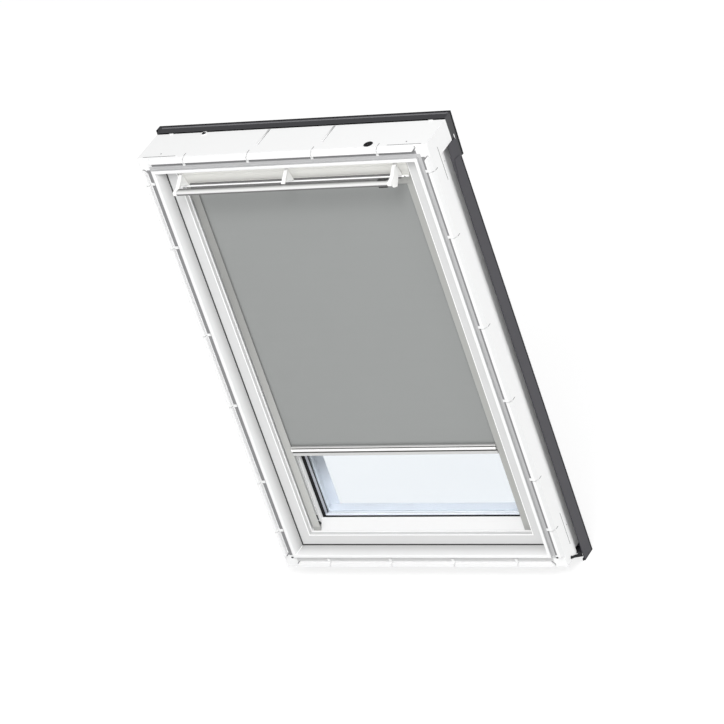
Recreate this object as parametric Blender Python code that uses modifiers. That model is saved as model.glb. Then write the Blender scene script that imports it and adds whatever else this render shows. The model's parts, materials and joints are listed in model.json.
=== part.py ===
"""Centre-pivot roof window with a blackout roller blind, built from its separate pieces.

Units are metres.  +X is to the right, seen from the room, +Z runs up the slope of the window and
+Y points out of the building.  The origin is the centre of the frame, in the plane of the frame's
room-side lip.
"""
import math

import bmesh
import bpy
from mathutils import Matrix, Vector

# Overall frame
FRAME_WIDTH = 0.780
FRAME_HEIGHT = 1.178
FRAME_DEPTH = 0.118
MESH_GAP = 0.0003
OVERRUN = 0.001
DEEP_OVERRUN = 0.015
FINE_EDGE = 0.0006
SOFT_EDGE = 0.001
FOLD_RADIUS = 0.0018

# Section of the frame members: inset is measured inwards from the outer face of the frame
STRIP_FRONT_INSET = 0.0055
STRIP_INNER_INSET = 0.0135
GROOVE_DEPTH = 0.010
GROOVE_WIDTH = 0.0185
LIP_WIDTH = 0.008
REVEAL_SLOPE = 0.0085
REVEAL_DEPTH = 0.030
LIP_ROUND = 0.0022
STRIP_END = 0.033
NOTCH_WIDTH = 0.003
HEAD_NOTCH_PITCH = 0.174
HEAD_NOTCH_COUNT = 4
JAMB_NOTCHES_FROM_HEAD = (0.071, 0.248, 0.495)
JAMB_NOTCHES_FROM_SILL = (0.109, 0.254, 0.478)
SHOULDER_START = 0.030
SHOULDER_INSET = 0.014
SHOULDER_END = 0.084
CORNER_BLOCK = 0.055
SHOULDER_STEPS = 7
MARK_LENGTH = 0.090
MARK_WIDTH = 0.0012
MARK_CUT = 0.0006
MARK_END_OFFSET = 0.016
HEAD_MARK_DEPTH = 0.0145
JAMB_MARK_DEPTH = 0.0215
MARK_DOT_RADIUS = 0.0014
MARK_DOT_OFFSET = 0.012

# Exterior metal covers
SHEET = 0.0012
HOOD_TOP_CLEARANCE = 0.0018
HOOD_STANDOFF = 0.0015
HOOD_DEPTH_TOP = 0.034
HOOD_DEPTH_BOTTOM = 0.029
HOOD_HEIGHT = 0.112
HOOD_SIDE_CLEARANCE = 0.001
CLADDING_SIDE_CLEARANCE = 0.0006
CLADDING_STANDOFF = 0.013
CLADDING_FLANGE = 0.045
CLADDING_SETBACK = 0.001
CLADDING_RETURN = 0.0065
CLADDING_DROP = 0.056
CLADDING_OVERHANG = 0.0345
CLADDING_CORNER_WIDTH = 0.008
CLADDING_CORNER_HEIGHT = 0.028
SILL_COVER_CLEARANCE = 0.0007
SILL_COVER_DROP = 0.018
SILL_COVER_OVERLAP = 0.0445
SILL_COVER_FLANGE = 0.029
SILL_COVER_LIP = 0.004
CLIP_ROD_LENGTH = 0.047
CLIP_ROD_RADIUS = 0.0013
CLIP_HEAD_RADIUS = 0.003
CLIP_HEAD_LENGTH = 0.005
CLIP_ROD_END = 0.088
CLIP_ROD_INSET = 0.007

# Sash
SASH_CLEARANCE = 0.0035
STILE_FACE = 0.028
STEP_DEPTH = 0.0145
STEP_DRAFT = 0.0015
EDGE_ROUND = 0.0015
SHOULDER_PLANE = 0.058
FLANGE_BACK = 0.068
FLANGE_INSET = 0.050
FLANGE_LIP = 0.0015
PANE_COVER = 0.0125
BOTTOM_FLANGE_INSET = 0.052
TOP_FLANGE_INSET = 0.040
TOP_RAIL_FRONT = 0.045
PANE_THICKNESS = 0.004
PANE_CAVITY = 0.016
GASKET_THICKNESS = 0.0064
PANE_EDGE_CLEARANCE = 0.0005
SPACER_WIDTH = 0.0115
PANE_TO_BACK = 0.001
BEAD_DEPTH = 0.0307
BEAD_INSET = 0.005
COVER_SETBACK = 0.001
COVER_LEG_START = 0.004
SEAL_START = 0.072
SEAL_DEPTH = 0.006
SEAL_HEIGHT = 0.0024

# Pivot hinges and lock
PIVOT_DEPTH = 0.062
PIVOT_PIN_RADIUS = 0.007
PIVOT_RUNNING_GAP = 0.0003
PIVOT_PIN_REACH = 0.0082
PIVOT_PLATE_LENGTH = 0.080
PIVOT_PLATE_WIDTH = 0.034
PIVOT_PLATE_THICKNESS = 0.0036
SOCKET_LENGTH = 0.060
SOCKET_WIDTH = 0.032
SOCKET_THICKNESS = 0.0094
ROUND_SEGMENTS = 24
LOCK_WIDTH = 0.050
LOCK_DEPTH = 0.023
LOCK_HEIGHT = 0.025
LOCK_START = 0.052
TONGUE_WIDTH = 0.016
TONGUE_THICKNESS = 0.006
TONGUE_LENGTH = 0.022
TONGUE_STAND = 0.0028
TONGUE_TRAVEL = 0.004
SLIDING_GAP = 0.0004
STRIKER_LENGTH = 0.060
STRIKER_WIDTH = 0.022
STRIKER_THICKNESS = 0.002
STRIKER_SLOT_CLEARANCE = 0.001
MORTISE_DEPTH = 0.012

# Control bar and ventilation flap
FLAP_AXIS_DEPTH = 0.030
FLAP_AXIS_DROP = 0.038
FLAP_END_CLEARANCE = 0.001
FLAP_RISE = 0.0365
FLAP_THICKNESS = 0.003
FLAP_HOLLOW = 0.005
FLAP_LIP = 0.0065
FLAP_EDGE_RADIUS = 0.0032
CONTROL_BAR_REACH = 0.058
CONTROL_BAR_RISE = 0.0145
CONTROL_BAR_END_INSET = 0.0105
CONTROL_BAR_SECTION_DEPTH = 0.017
CONTROL_BAR_SECTION_HEIGHT = 0.012
BAR_BACK_ROUND = 0.003
ARM_INSET = 0.0085
ARM_THICKNESS = 0.005
ARM_TOP_HEIGHT = 0.0395
ARM_TOP_REACH = 0.0185
ARM_TIP = 0.0052
ARM_SWEEP = 0.03
ARM_FOOT_RISE = 0.004
ARM_BELLY_REACH = 0.020
ARM_BELLY_DROP = 0.008
ARM_BELLY_RADIUS = 0.012
CLIP_LENGTH = 0.024
CLIP_INSET = 0.029
CLIP_WALL = 0.0012
FILTER_THICKNESS = 0.008
FILTER_HEIGHT = 0.026
FILTER_RISE = 0.006
FILTER_END_INSET = 0.0225

# Blackout blind
CHANNEL_DEPTH = 0.0127
CHANNEL_WIDTH = 0.021
CHANNEL_END_CLEARANCE = 0.0045
CHANNEL_WALL = 0.0013
CHANNEL_SLOT = 0.0062
CHANNEL_TOP_CLEARANCE = 0.0008
CASSETTE_DEPTH = 0.0294
CASSETTE_HEIGHT = 0.0277
CASSETTE_CLEARANCE = 0.0013
CASSETTE_WALL = 0.0012
CASSETTE_SLOT = 0.0055
CASSETTE_END_CLEARANCE = 0.0008
CAP_DEPTH = 0.0242
CLOTH_THICKNESS = 0.0006
CLOTH_INSET = 0.0041
CLOTH_ENGAGEMENT = 0.0035
CLOTH_LEAD = 0.003
ROLL_RADIUS = 0.0115
TUBE_RADIUS = 0.008
TUBE_WALL = 0.0012
TUBE_END_INSET = 0.001
PLUG_LENGTH = 0.020
JOURNAL_RADIUS = 0.003
JOURNAL_LENGTH = 0.0065
JOURNAL_PLAY = 0.001
SPRING_RADIUS = 0.0046
SPRING_WIRE = 0.0008
SPRING_TURNS = 12
SPRING_LENGTH = 0.120
SPRING_POINTS = 10
CLOTH_DROP = 0.7258
BAR_HEIGHT = 0.0262
BAR_THICKNESS = 0.011
BAR_LEAD = 0.005
BAR_END_CLEARANCE = 0.0008
GRIP_DROP = 0.0085
GRIP_RADIUS = 0.0034
GRIP_REACH = 0.0035
GRIP_ROUND = 0.003
BAR_GROOVE = 0.0016
GLIDER_LENGTH = 0.022
GLIDER_REACH = 0.0185
GLIDER_THICKNESS = 0.0050
FOOT_HEIGHT = 0.011

# Cable entries in the head of the frame
GROMMET_RADIUS = 0.0112
GROMMET_POSITION = 0.232
GROMMET_DEPTH = 0.0225
GROMMET_SINK = 0.006
GROMMET_STAND = 0.0008
GROMMET_DISH = 0.0012
GLAND_POSITION = -0.256
GLAND_RADIUS = 0.005
GLAND_FROM_BACK = 0.007
GLAND_SINK = 0.006
GLAND_STAND = 0.003

# Places that follow from the sizes above: the frame and its covers
HALF_W = FRAME_WIDTH / 2
HALF_H = FRAME_HEIGHT / 2
LIP_OUTER_INSET = STRIP_INNER_INSET + GROOVE_WIDTH
LIP_INNER_INSET = LIP_OUTER_INSET + LIP_WIDTH
INNER_INSET = LIP_INNER_INSET + REVEAL_SLOPE
OPENING_HALF_W = HALF_W - INNER_INSET
OPENING_HALF_H = HALF_H - INNER_INSET
JAMB_NOTCHES = [HALF_H - drop for drop in JAMB_NOTCHES_FROM_HEAD]
JAMB_NOTCHES += [rise - HALF_H for rise in JAMB_NOTCHES_FROM_SILL]
HOOD_TOP = HALF_H + HOOD_TOP_CLEARANCE + SHEET
CLADDING_BACK = FRAME_DEPTH + CLADDING_STANDOFF
CLADDING_START = CLADDING_BACK - CLADDING_FLANGE
CLADDING_TOP = HALF_H - CLADDING_DROP
CLADDING_EDGE = OPENING_HALF_W + CLADDING_SETBACK
GLAND_DEPTH = FRAME_DEPTH - GLAND_FROM_BACK

# The sash and its glazing
SASH_HALF_W = OPENING_HALF_W - SASH_CLEARANCE
SASH_HALF_H = OPENING_HALF_H - SASH_CLEARANCE
SASH_FRONT = REVEAL_DEPTH
STEP_BACK = SASH_FRONT + STEP_DEPTH
STEP_HALF_W = SASH_HALF_W - STILE_FACE - STEP_DRAFT
GLAZED_HALF_W = SASH_HALF_W - FLANGE_INSET
GLAZED_LOW = BOTTOM_FLANGE_INSET - SASH_HALF_H
GLAZED_HIGH = SASH_HALF_H - TOP_FLANGE_INSET
REBATE_HALF_W = GLAZED_HALF_W + PANE_COVER
PANE_HALF_W = REBATE_HALF_W - PANE_EDGE_CLEARANCE
PANE_LOW = GLAZED_LOW - PANE_COVER + PANE_EDGE_CLEARANCE
PANE_HIGH = GLAZED_HIGH + PANE_COVER - PANE_EDGE_CLEARANCE
PANE_FRONT = FLANGE_BACK + GASKET_THICKNESS + 2 * MESH_GAP
PANE_BACK = PANE_FRONT + 2 * PANE_THICKNESS + PANE_CAVITY
SASH_BACK = PANE_BACK + PANE_TO_BACK
BEAD_FRONT = SASH_BACK + 2 * MESH_GAP
BEAD_BACK = BEAD_FRONT + BEAD_DEPTH
BEAD_HALF_W = SASH_HALF_W - BEAD_INSET
BEAD_HALF_H = SASH_HALF_H - BEAD_INSET

# The control bar
LOCK_MIDDLE = LOCK_START + LOCK_DEPTH / 2
FLAP_AXIS_HEIGHT = SASH_HALF_H - FLAP_AXIS_DROP
FLAP_HALF_WIDTH = STEP_HALF_W - FLAP_END_CLEARANCE
CONTROL_BAR_DEPTH = FLAP_AXIS_DEPTH - CONTROL_BAR_REACH
CONTROL_BAR_HEIGHT = FLAP_AXIS_HEIGHT + CONTROL_BAR_RISE
CONTROL_BAR_HALF_LENGTH = FLAP_HALF_WIDTH - CONTROL_BAR_END_INSET
ARM_SPACING = CONTROL_BAR_HALF_LENGTH - ARM_INSET

# The blind
CHANNEL_FRONT = SHOULDER_PLANE - MESH_GAP - CHANNEL_DEPTH
CHANNEL_OUTER = STEP_HALF_W - CHANNEL_END_CLEARANCE
CHANNEL_INNER = CHANNEL_OUTER - CHANNEL_WIDTH
CASSETTE_TOP = GLAZED_HIGH - CASSETTE_CLEARANCE
CASSETTE_LOW = CASSETTE_TOP - CASSETTE_HEIGHT
CASSETTE_FRONT = CHANNEL_FRONT - CASSETTE_WALL
CASSETTE_HALF_LENGTH = GLAZED_HALF_W - CASSETTE_END_CLEARANCE
CAP_END = STEP_HALF_W - 2 * MESH_GAP
CAP_BACK = CASSETTE_FRONT + CAP_DEPTH
CLOTH_PLANE = CASSETTE_FRONT + CLOTH_INSET
CLOTH_HALF_WIDTH = CHANNEL_INNER + CLOTH_ENGAGEMENT
ROLL_DEPTH = CLOTH_PLANE + CLOTH_THICKNESS / 2 + ROLL_RADIUS
ROLL_HEIGHT = (CASSETTE_LOW + CASSETTE_TOP) / 2
TUBE_HALF_LENGTH = CLOTH_HALF_WIDTH - TUBE_END_INSET
BAR_TOP = CASSETTE_LOW - CLOTH_DROP
BAR_FRONT = CLOTH_PLANE - BAR_LEAD
BAR_BACK = BAR_FRONT + BAR_THICKNESS
BAR_HALF_LENGTH = CHANNEL_INNER - BAR_END_CLEARANCE

# Axes of a flat outline: extruded along Z as drawn, along X, or along Y
ALONG_Z = Matrix.Identity(4)
ALONG_X = Matrix(((0, 0, -1, 0), (0, 1, 0, 0), (1, 0, 0, 0), (0, 0, 0, 1)))
ALONG_Y = Matrix(((1, 0, 0, 0), (0, 0, -1, 0), (0, 1, 0, 0), (0, 0, 0, 1)))

WHITE = ((0.86, 0.86, 0.86, 1), 0.35, 0.0)
IVORY = ((0.80, 0.80, 0.76, 1), 0.45, 0.0)
DARK_METAL = ((0.082, 0.079, 0.095, 1), 0.45, 0.6)
BLACK_RUBBER = ((0.012, 0.012, 0.012, 1), 0.6, 0.0)
GREY_METAL = ((0.40, 0.40, 0.37, 1), 0.35, 0.8)
STEEL = ((0.55, 0.55, 0.55, 1), 0.3, 1.0)
CLOTH_GREY = ((0.36, 0.37, 0.36, 1), 0.9, 0.0)
GLASS = ((0.86, 0.91, 0.95, 1), 0.02, 0.0)


def clear_scene():
    """Remove whatever the scene holds before modelling."""
    for item in list(bpy.data.objects):
        bpy.data.objects.remove(item, do_unlink=True)


def collection(name):
    """Make a collection and link it to the scene."""
    made = bpy.data.collections.new(name)
    bpy.context.scene.collection.children.link(made)
    return made


clear_scene()
PARTS = collection("roof_window_blind")
CUTTERS = collection("cutters")


def finish(name, look):
    """A Principled material with the given colour, roughness and metallic value."""
    material = bpy.data.materials.new(name)
    material.use_nodes = True
    shader = material.node_tree.nodes["Principled BSDF"]
    colour, roughness, metallic = look
    shader.inputs["Base Color"].default_value = colour
    shader.inputs["Roughness"].default_value = roughness
    shader.inputs["Metallic"].default_value = metallic
    return material


def place(name, mesh, look=None, matrix=None):
    """Link a mesh as a part with its own material, or as a cutter where no look is given."""
    item = bpy.data.objects.new(name, mesh)
    if matrix is not None:
        item.matrix_world = matrix
    if look is None:
        CUTTERS.objects.link(item)
        item.hide_render = True
        item.display_type = "WIRE"
    else:
        PARTS.objects.link(item)
        mesh.materials.clear()
        mesh.materials.append(finish(name, look))
    return item


def rounded(corners, steps=3):
    """Outline points of a polygon of (a, b, radius) corners, each with its arc."""
    points = []
    for index, (a, b, radius) in enumerate(corners):
        corner = Vector((a, b))
        if radius <= 0:
            points.append(corner)
            continue
        before = Vector(corners[index - 1][:2]) - corner
        after = Vector(corners[(index + 1) % len(corners)][:2]) - corner
        half_angle = before.angle(after) / 2
        reach = min(radius / math.tan(half_angle), 0.49 * before.length, 0.49 * after.length)
        start = corner + before.normalized() * reach
        end = corner + after.normalized() * reach
        for step in range(steps + 1):
            t = step / steps
            points.append(start.lerp(corner, t).lerp(corner.lerp(end, t), t))
    return points


def extruded_mesh(name, outlines, length, axes):
    """Mesh of one or more closed outlines filled and extruded evenly about the drawing plane."""
    curve = bpy.data.curves.new(name, "CURVE")
    curve.dimensions = "2D"
    curve.fill_mode = "BOTH"
    curve.extrude = length / 2
    for outline in outlines:
        spline = curve.splines.new("POLY")
        spline.points.add(len(outline) - 1)
        for point, (a, b) in zip(spline.points, outline):
            point.co = (a, b, 0, 1)
        spline.use_cyclic_u = True
    return curve_to_mesh(name, curve, axes)


def curve_to_mesh(name, curve, axes):
    """Turn a curve into a closed mesh with its axes turned into the world's."""
    drawn = bpy.data.objects.new(name, curve)
    bpy.context.scene.collection.objects.link(drawn)
    bpy.context.view_layer.update()
    evaluated = drawn.evaluated_get(bpy.context.evaluated_depsgraph_get())
    mesh = bpy.data.meshes.new_from_object(evaluated)
    mesh.transform(axes)
    bpy.data.objects.remove(drawn)
    bpy.data.curves.remove(curve)
    tidy(mesh)
    return mesh


def tidy(mesh):
    """Weld loose caps and point the faces outwards."""
    shape = bmesh.new()
    shape.from_mesh(mesh)
    bmesh.ops.remove_doubles(shape, verts=shape.verts, dist=0.000001)
    bmesh.ops.recalc_face_normals(shape, faces=shape.faces)
    shape.to_mesh(mesh)
    shape.free()


def bar_z(name, outline, low, high, look=None):
    """An outline in X and Y, extruded up the slope from low to high."""
    mesh = extruded_mesh(name, [outline], high - low, ALONG_Z)
    return place(name, mesh, look, Matrix.Translation((0, 0, (low + high) / 2)))


def bar_x(name, outline, low, high, look=None):
    """An outline in Z and Y, extruded across the window from low to high."""
    mesh = extruded_mesh(name, [outline], high - low, ALONG_X)
    return place(name, mesh, look, Matrix.Translation(((low + high) / 2, 0, 0)))


def box(name, low, high, look=None):
    """A box between two corners, made from a cube."""
    mesh = bpy.data.meshes.new(name)
    shape = bmesh.new()
    size = [abs(b - a) for a, b in zip(low, high)]
    bmesh.ops.create_cube(shape, size=1, matrix=Matrix.Diagonal((*size, 1)))
    shape.to_mesh(mesh)
    shape.free()
    centre = [(a + b) / 2 for a, b in zip(low, high)]
    return place(name, mesh, look, Matrix.Translation(centre))


def cylinder(name, radius, start, end, look=None, segments=ROUND_SEGMENTS):
    """A round bar between two points."""
    start, end = Vector(start), Vector(end)
    along = end - start
    turn = along.to_track_quat("Z", "Y").to_matrix().to_4x4()
    mesh = bpy.data.meshes.new(name)
    shape = bmesh.new()
    bmesh.ops.create_cone(shape, cap_ends=True, segments=segments, radius1=radius,
                          radius2=radius, depth=along.length, matrix=turn)
    shape.to_mesh(mesh)
    shape.free()
    mesh.shade_smooth()
    mesh.set_sharp_from_angle(angle=math.radians(40))
    return place(name, mesh, look, Matrix.Translation((start + end) / 2))


def ring(name, outer, inner, start, end, look):
    """A flat rectangular ring; outer and inner are (half width, low, high)."""
    outlines = []
    for half_width, low, high in (outer, inner):
        outlines.append([(-half_width, low), (half_width, low),
                         (half_width, high), (-half_width, high)])
    mesh = extruded_mesh(name, outlines, end - start, ALONG_Y)
    return place(name, mesh, look, Matrix.Translation((0, (start + end) / 2, 0)))


def cut_plane(part, point, normal):
    """Cut a part off beyond a plane and close the cut."""
    inverse = part.matrix_world.inverted()
    local_point = inverse @ Vector(point)
    local_normal = (inverse.to_3x3() @ Vector(normal)).normalized()
    shape = bmesh.new()
    shape.from_mesh(part.data)
    geometry = shape.verts[:] + shape.edges[:] + shape.faces[:]
    bmesh.ops.bisect_plane(shape, geom=geometry, plane_co=local_point, plane_no=local_normal,
                           clear_outer=True)
    open_edges = [edge for edge in shape.edges if edge.is_boundary]
    bmesh.ops.holes_fill(shape, edges=open_edges)
    bmesh.ops.recalc_face_normals(shape, faces=shape.faces)
    shape.to_mesh(part.data)
    shape.free()


def boolean(part, cutter, operation="DIFFERENCE"):
    """Cut one object with another, or join it on, with the exact solver."""
    modifier = part.modifiers.new(cutter.name, "BOOLEAN")
    modifier.operation = operation
    modifier.solver = "EXACT"
    modifier.object = cutter


def side_name(side):
    """Left or right, for -1 or 1."""
    return "left" if side < 0 else "right"


def frame_outline(edge, side):
    """Closed section of a frame member; edge is the outer face's distance from the centre."""
    section = (
        (STRIP_FRONT_INSET, 0, SOFT_EDGE),
        (STRIP_INNER_INSET, 0, SOFT_EDGE),
        (STRIP_INNER_INSET, GROOVE_DEPTH, 0),
        (LIP_OUTER_INSET, GROOVE_DEPTH, 0),
        (LIP_OUTER_INSET, 0, LIP_ROUND),
        (LIP_INNER_INSET, 0, LIP_ROUND),
        (INNER_INSET, REVEAL_DEPTH, 0),
        (INNER_INSET, FRAME_DEPTH, 0),
        (0, FRAME_DEPTH, 0),
        (0, GROOVE_DEPTH, 0),
    )
    return rounded([(side * (edge - inset), depth, radius) for inset, depth, radius in section])


def notch_cutter(name, centre, across):
    """A slit through the outer strip, across a member; across is the member's own direction."""
    half = Vector((STRIP_INNER_INSET, GROOVE_DEPTH, STRIP_INNER_INSET)) + Vector((OVERRUN,) * 3)
    half["XYZ".index(across)] = NOTCH_WIDTH / 2
    low = Vector(centre) - half
    high = Vector(centre) + half
    high.y = GROOVE_DEPTH
    return box(name, low, high)


def jamb_notches(side):
    """Cutters for the slits and the two bare ends of a jamb's outer strip."""
    x = side * HALF_W
    cutters = []
    for index, height in enumerate(JAMB_NOTCHES):
        cutters.append(notch_cutter(f"notch_{side_name(side)}_{index}", (x, 0, height), "Z"))
    for end in (-1, 1):
        low = (x - side * (STRIP_INNER_INSET + MESH_GAP), -OVERRUN, end * (HALF_H - STRIP_END))
        high = (x + side * OVERRUN, GROOVE_DEPTH, end * (HALF_H + OVERRUN))
        cutters.append(box(f"strip_end_{side_name(side)}_{end}", low, high))
    return cutters


def rail_notches(end):
    """Cutters for the slits and the two bare ends of the head's or sill's outer strip."""
    z = end * HALF_H
    label = "head" if end > 0 else "sill"
    cutters = []
    for index in range(HEAD_NOTCH_COUNT):
        x = (index - (HEAD_NOTCH_COUNT - 1) / 2) * HEAD_NOTCH_PITCH
        cutters.append(notch_cutter(f"notch_{label}_{index}", (x, 0, z), "X"))
    for side in (-1, 1):
        low = (side * (HALF_W - STRIP_END), -OVERRUN, z - end * (STRIP_INNER_INSET + MESH_GAP))
        high = (side * (HALF_W + OVERRUN), GROOVE_DEPTH, z + end * OVERRUN)
        cutters.append(box(f"strip_end_{label}_{side}", low, high))
    return cutters


def shoulder_outline(side):
    """Section of the space outside a jamb's rounded exterior shoulder."""
    run = SHOULDER_END - SHOULDER_START
    radius = (run ** 2 + SHOULDER_INSET ** 2) / (2 * SHOULDER_INSET)
    sweep = math.asin(run / radius)
    points = [(-DEEP_OVERRUN, SHOULDER_START)]
    for step in range(SHOULDER_STEPS + 1):
        angle = sweep * step / SHOULDER_STEPS
        points.append((radius * (1 - math.cos(angle)), SHOULDER_START + radius * math.sin(angle)))
    points.append((SHOULDER_INSET, FRAME_DEPTH + DEEP_OVERRUN))
    points.append((-DEEP_OVERRUN, FRAME_DEPTH + DEEP_OVERRUN))
    return [(side * (HALF_W - inset), depth) for inset, depth in points]


def shoulder_cutter(side):
    """Cutter that rounds a jamb's shoulder and fades out below the corner block."""
    top = HALF_H - CORNER_BLOCK
    cutter = bar_z(f"shoulder_{side_name(side)}", shoulder_outline(side),
                   -HALF_H - DEEP_OVERRUN, top)
    cut_plane(cutter, (side * HALF_W, 0, top), (-side, 0, 1))
    return cutter


def mark_cutters(label, corner, run, face, depth):
    """Cutters for a bracket line and its dot; run and face are unit directions."""
    run, face = Vector(run), Vector(face)
    start = Vector(corner) + run * MARK_END_OFFSET + Vector((0, depth, 0)) - face * MARK_CUT
    end = start + run * MARK_LENGTH + face * OVERRUN
    start.y -= MARK_WIDTH / 2
    end.y += MARK_WIDTH / 2
    line = box(f"mark_line_{label}", start, end)
    dot = Vector(corner) + run * (MARK_END_OFFSET + MARK_LENGTH / 2)
    dot.y = depth + MARK_DOT_OFFSET
    hole = cylinder(f"mark_dot_{label}", MARK_DOT_RADIUS, dot - face * MARK_CUT,
                    dot + face * OVERRUN, segments=8)
    return [line, hole]


def frame_members():
    """The four mitred members of the outer frame with all that is cut into them."""
    shoulders = {side: shoulder_cutter(side) for side in (-1, 1)}
    mitre = HALF_H - HALF_W - MESH_GAP / 2
    for side in (-1, 1):
        label = side_name(side)
        jamb = bar_z(f"frame_jamb_{label}", frame_outline(HALF_W, side), -HALF_H, HALF_H, WHITE)
        for end in (-1, 1):
            cut_plane(jamb, (0, 0, end * mitre), (-side, 0, end))
        cutters = jamb_notches(side) + [shoulders[side], pivot_pocket(side)]
        for end in (-1, 1):
            cutters += mark_cutters(f"jamb_{label}_{end}", (side * HALF_W, 0, end * HALF_H),
                                    (0, 0, -end), (side, 0, 0), JAMB_MARK_DEPTH)
        for cutter in cutters:
            boolean(jamb, cutter)
    for end, name in ((1, "frame_head"), (-1, "frame_sill")):
        rail = bar_x(name, frame_outline(HALF_H, end), -HALF_W, HALF_W, WHITE)
        for side in (-1, 1):
            cut_plane(rail, (0, 0, end * (HALF_H - HALF_W + MESH_GAP / 2)), (side, 0, -end))
        cutters = rail_notches(end)
        for side in (-1, 1):
            cutters += mark_cutters(f"{name}_{side}", (side * HALF_W, 0, end * HALF_H),
                                    (-side, 0, 0), (0, 0, end), HEAD_MARK_DEPTH)
        cutters += head_pockets() if end > 0 else list(shoulders.values())
        for cutter in cutters:
            boolean(rail, cutter)


def pivot_pocket(side):
    """Cutter for the pocket of the pivot plate in a jamb's inner wall."""
    gap = MESH_GAP
    low = (side * (OPENING_HALF_W - OVERRUN), PIVOT_DEPTH - PIVOT_PLATE_WIDTH / 2 - gap,
           -PIVOT_PLATE_LENGTH / 2 - gap)
    high = (side * (OPENING_HALF_W + PIVOT_PLATE_THICKNESS + 2 * gap),
            PIVOT_DEPTH + PIVOT_PLATE_WIDTH / 2 + gap, PIVOT_PLATE_LENGTH / 2 + gap)
    return box(f"pivot_pocket_{side_name(side)}", low, high)


def head_pockets():
    """Cutters in the head: the striker's pocket and mortise, and the two cable holes."""
    gap = MESH_GAP
    striker = box("striker_pocket",
                  (-STRIKER_LENGTH / 2 - gap, LOCK_MIDDLE - STRIKER_WIDTH / 2 - gap,
                   OPENING_HALF_H - OVERRUN),
                  (STRIKER_LENGTH / 2 + gap, LOCK_MIDDLE + STRIKER_WIDTH / 2 + gap,
                   OPENING_HALF_H + STRIKER_THICKNESS + 2 * gap))
    half_x = TONGUE_WIDTH / 2 + STRIKER_SLOT_CLEARANCE
    half_y = TONGUE_THICKNESS / 2 + STRIKER_SLOT_CLEARANCE
    mortise = box("mortise", (-half_x, LOCK_MIDDLE - half_y, OPENING_HALF_H),
                  (half_x, LOCK_MIDDLE + half_y, OPENING_HALF_H + MORTISE_DEPTH))
    grommet = cylinder("grommet_hole", GROMMET_RADIUS + gap,
                       (GROMMET_POSITION, GROMMET_DEPTH, HALF_H - GROMMET_SINK - gap),
                       (GROMMET_POSITION, GROMMET_DEPTH, HALF_H + OVERRUN))
    gland = cylinder("gland_hole", GLAND_RADIUS + gap,
                     (GLAND_POSITION, GLAND_DEPTH, HALF_H - GLAND_SINK - gap),
                     (GLAND_POSITION, GLAND_DEPTH, HALF_H + OVERRUN), segments=16)
    return [striker, mortise, grommet, gland]


def turned(name, profile, position, look, segments=ROUND_SEGMENTS):
    """A round piece about a vertical axis; the profile runs down its outer side at +X."""
    mesh = bpy.data.meshes.new(name)
    edges = [(i, i + 1) for i in range(len(profile) - 1)]
    mesh.from_pydata([(r, 0, z) for r, z in profile], edges, [])
    item = place(name, mesh, look, Matrix.Translation(position))
    screw = item.modifiers.new("turn", "SCREW")
    screw.steps = segments
    screw.render_steps = segments
    screw.use_merge_vertices = True
    screw.merge_threshold = 0.00001
    return item


def cable_entries():
    """The rubber grommet and the small gland in the top of the head."""
    r = GROMMET_RADIUS
    turned("cable_grommet",
           ((0, -GROMMET_DISH), (r * 0.55, -GROMMET_DISH), (r * 0.65, GROMMET_STAND),
            (r, GROMMET_STAND * 0.6),
            (r, -GROMMET_SINK), (0, -GROMMET_SINK)),
           (GROMMET_POSITION, GROMMET_DEPTH, HALF_H), BLACK_RUBBER)
    r = GLAND_RADIUS
    turned("cable_gland",
           ((0, GLAND_STAND), (r * 0.6, GLAND_STAND), (r, GLAND_STAND * 0.4), (r, -GLAND_SINK),
            (0, -GLAND_SINK)),
           (GLAND_POSITION, GLAND_DEPTH, HALF_H), BLACK_RUBBER, 16)


def hood():
    """Folded metal hood over the head: top, front and two ends, open below and behind."""
    start = FRAME_DEPTH + HOOD_STANDOFF
    deep_top = FRAME_DEPTH + HOOD_DEPTH_TOP
    deep_low = FRAME_DEPTH + HOOD_DEPTH_BOTTOM
    low = HOOD_TOP - HOOD_HEIGHT
    half = HALF_W - HOOD_SIDE_CLEARANCE
    outline = rounded([(HOOD_TOP, start, 0), (HOOD_TOP, deep_top, FOLD_RADIUS), (low, deep_low, 0),
                       (low, start, 0)])
    shell = bar_x("hood", outline, -half, half, DARK_METAL)
    inside = [(HOOD_TOP - SHEET, start - OVERRUN), (HOOD_TOP - SHEET, deep_top - SHEET),
              (low - OVERRUN, deep_low - SHEET), (low - OVERRUN, start - OVERRUN)]
    boolean(shell, bar_x("hood_inside", inside, SHEET - half, half - SHEET))


def cladding(side):
    """Folded side cladding of the frame, with a clipped upper corner under the hood."""
    outer = HALF_W + CLADDING_SIDE_CLEARANCE + SHEET
    edge = CLADDING_EDGE
    back = CLADDING_BACK
    section = ((outer, CLADDING_START, 0), (outer, back, FOLD_RADIUS), (edge, back, 0),
               (edge, back - CLADDING_RETURN, 0), (edge + SHEET, back - CLADDING_RETURN, 0),
               (edge + SHEET, back - SHEET, 0), (outer - SHEET, back - SHEET, 0),
               (outer - SHEET, CLADDING_START, 0))
    outline = rounded([(side * a, b, r) for a, b, r in section])
    sheet = bar_z(f"cladding_{side_name(side)}", outline, -HALF_H - CLADDING_OVERHANG,
                  CLADDING_TOP, DARK_METAL)
    cut_plane(sheet, (0, CLADDING_START, CLADDING_TOP - CLADDING_CORNER_HEIGHT),
              (0, -CLADDING_CORNER_HEIGHT, CLADDING_CORNER_WIDTH))
    boolean(sheet, box(f"under_hood_{side_name(side)}",
                       (side * (edge - OVERRUN), CLADDING_START - OVERRUN,
                        HOOD_TOP - HOOD_HEIGHT - OVERRUN),
                       (side * (outer - SHEET), back + OVERRUN, CLADDING_TOP + OVERRUN)))


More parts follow.
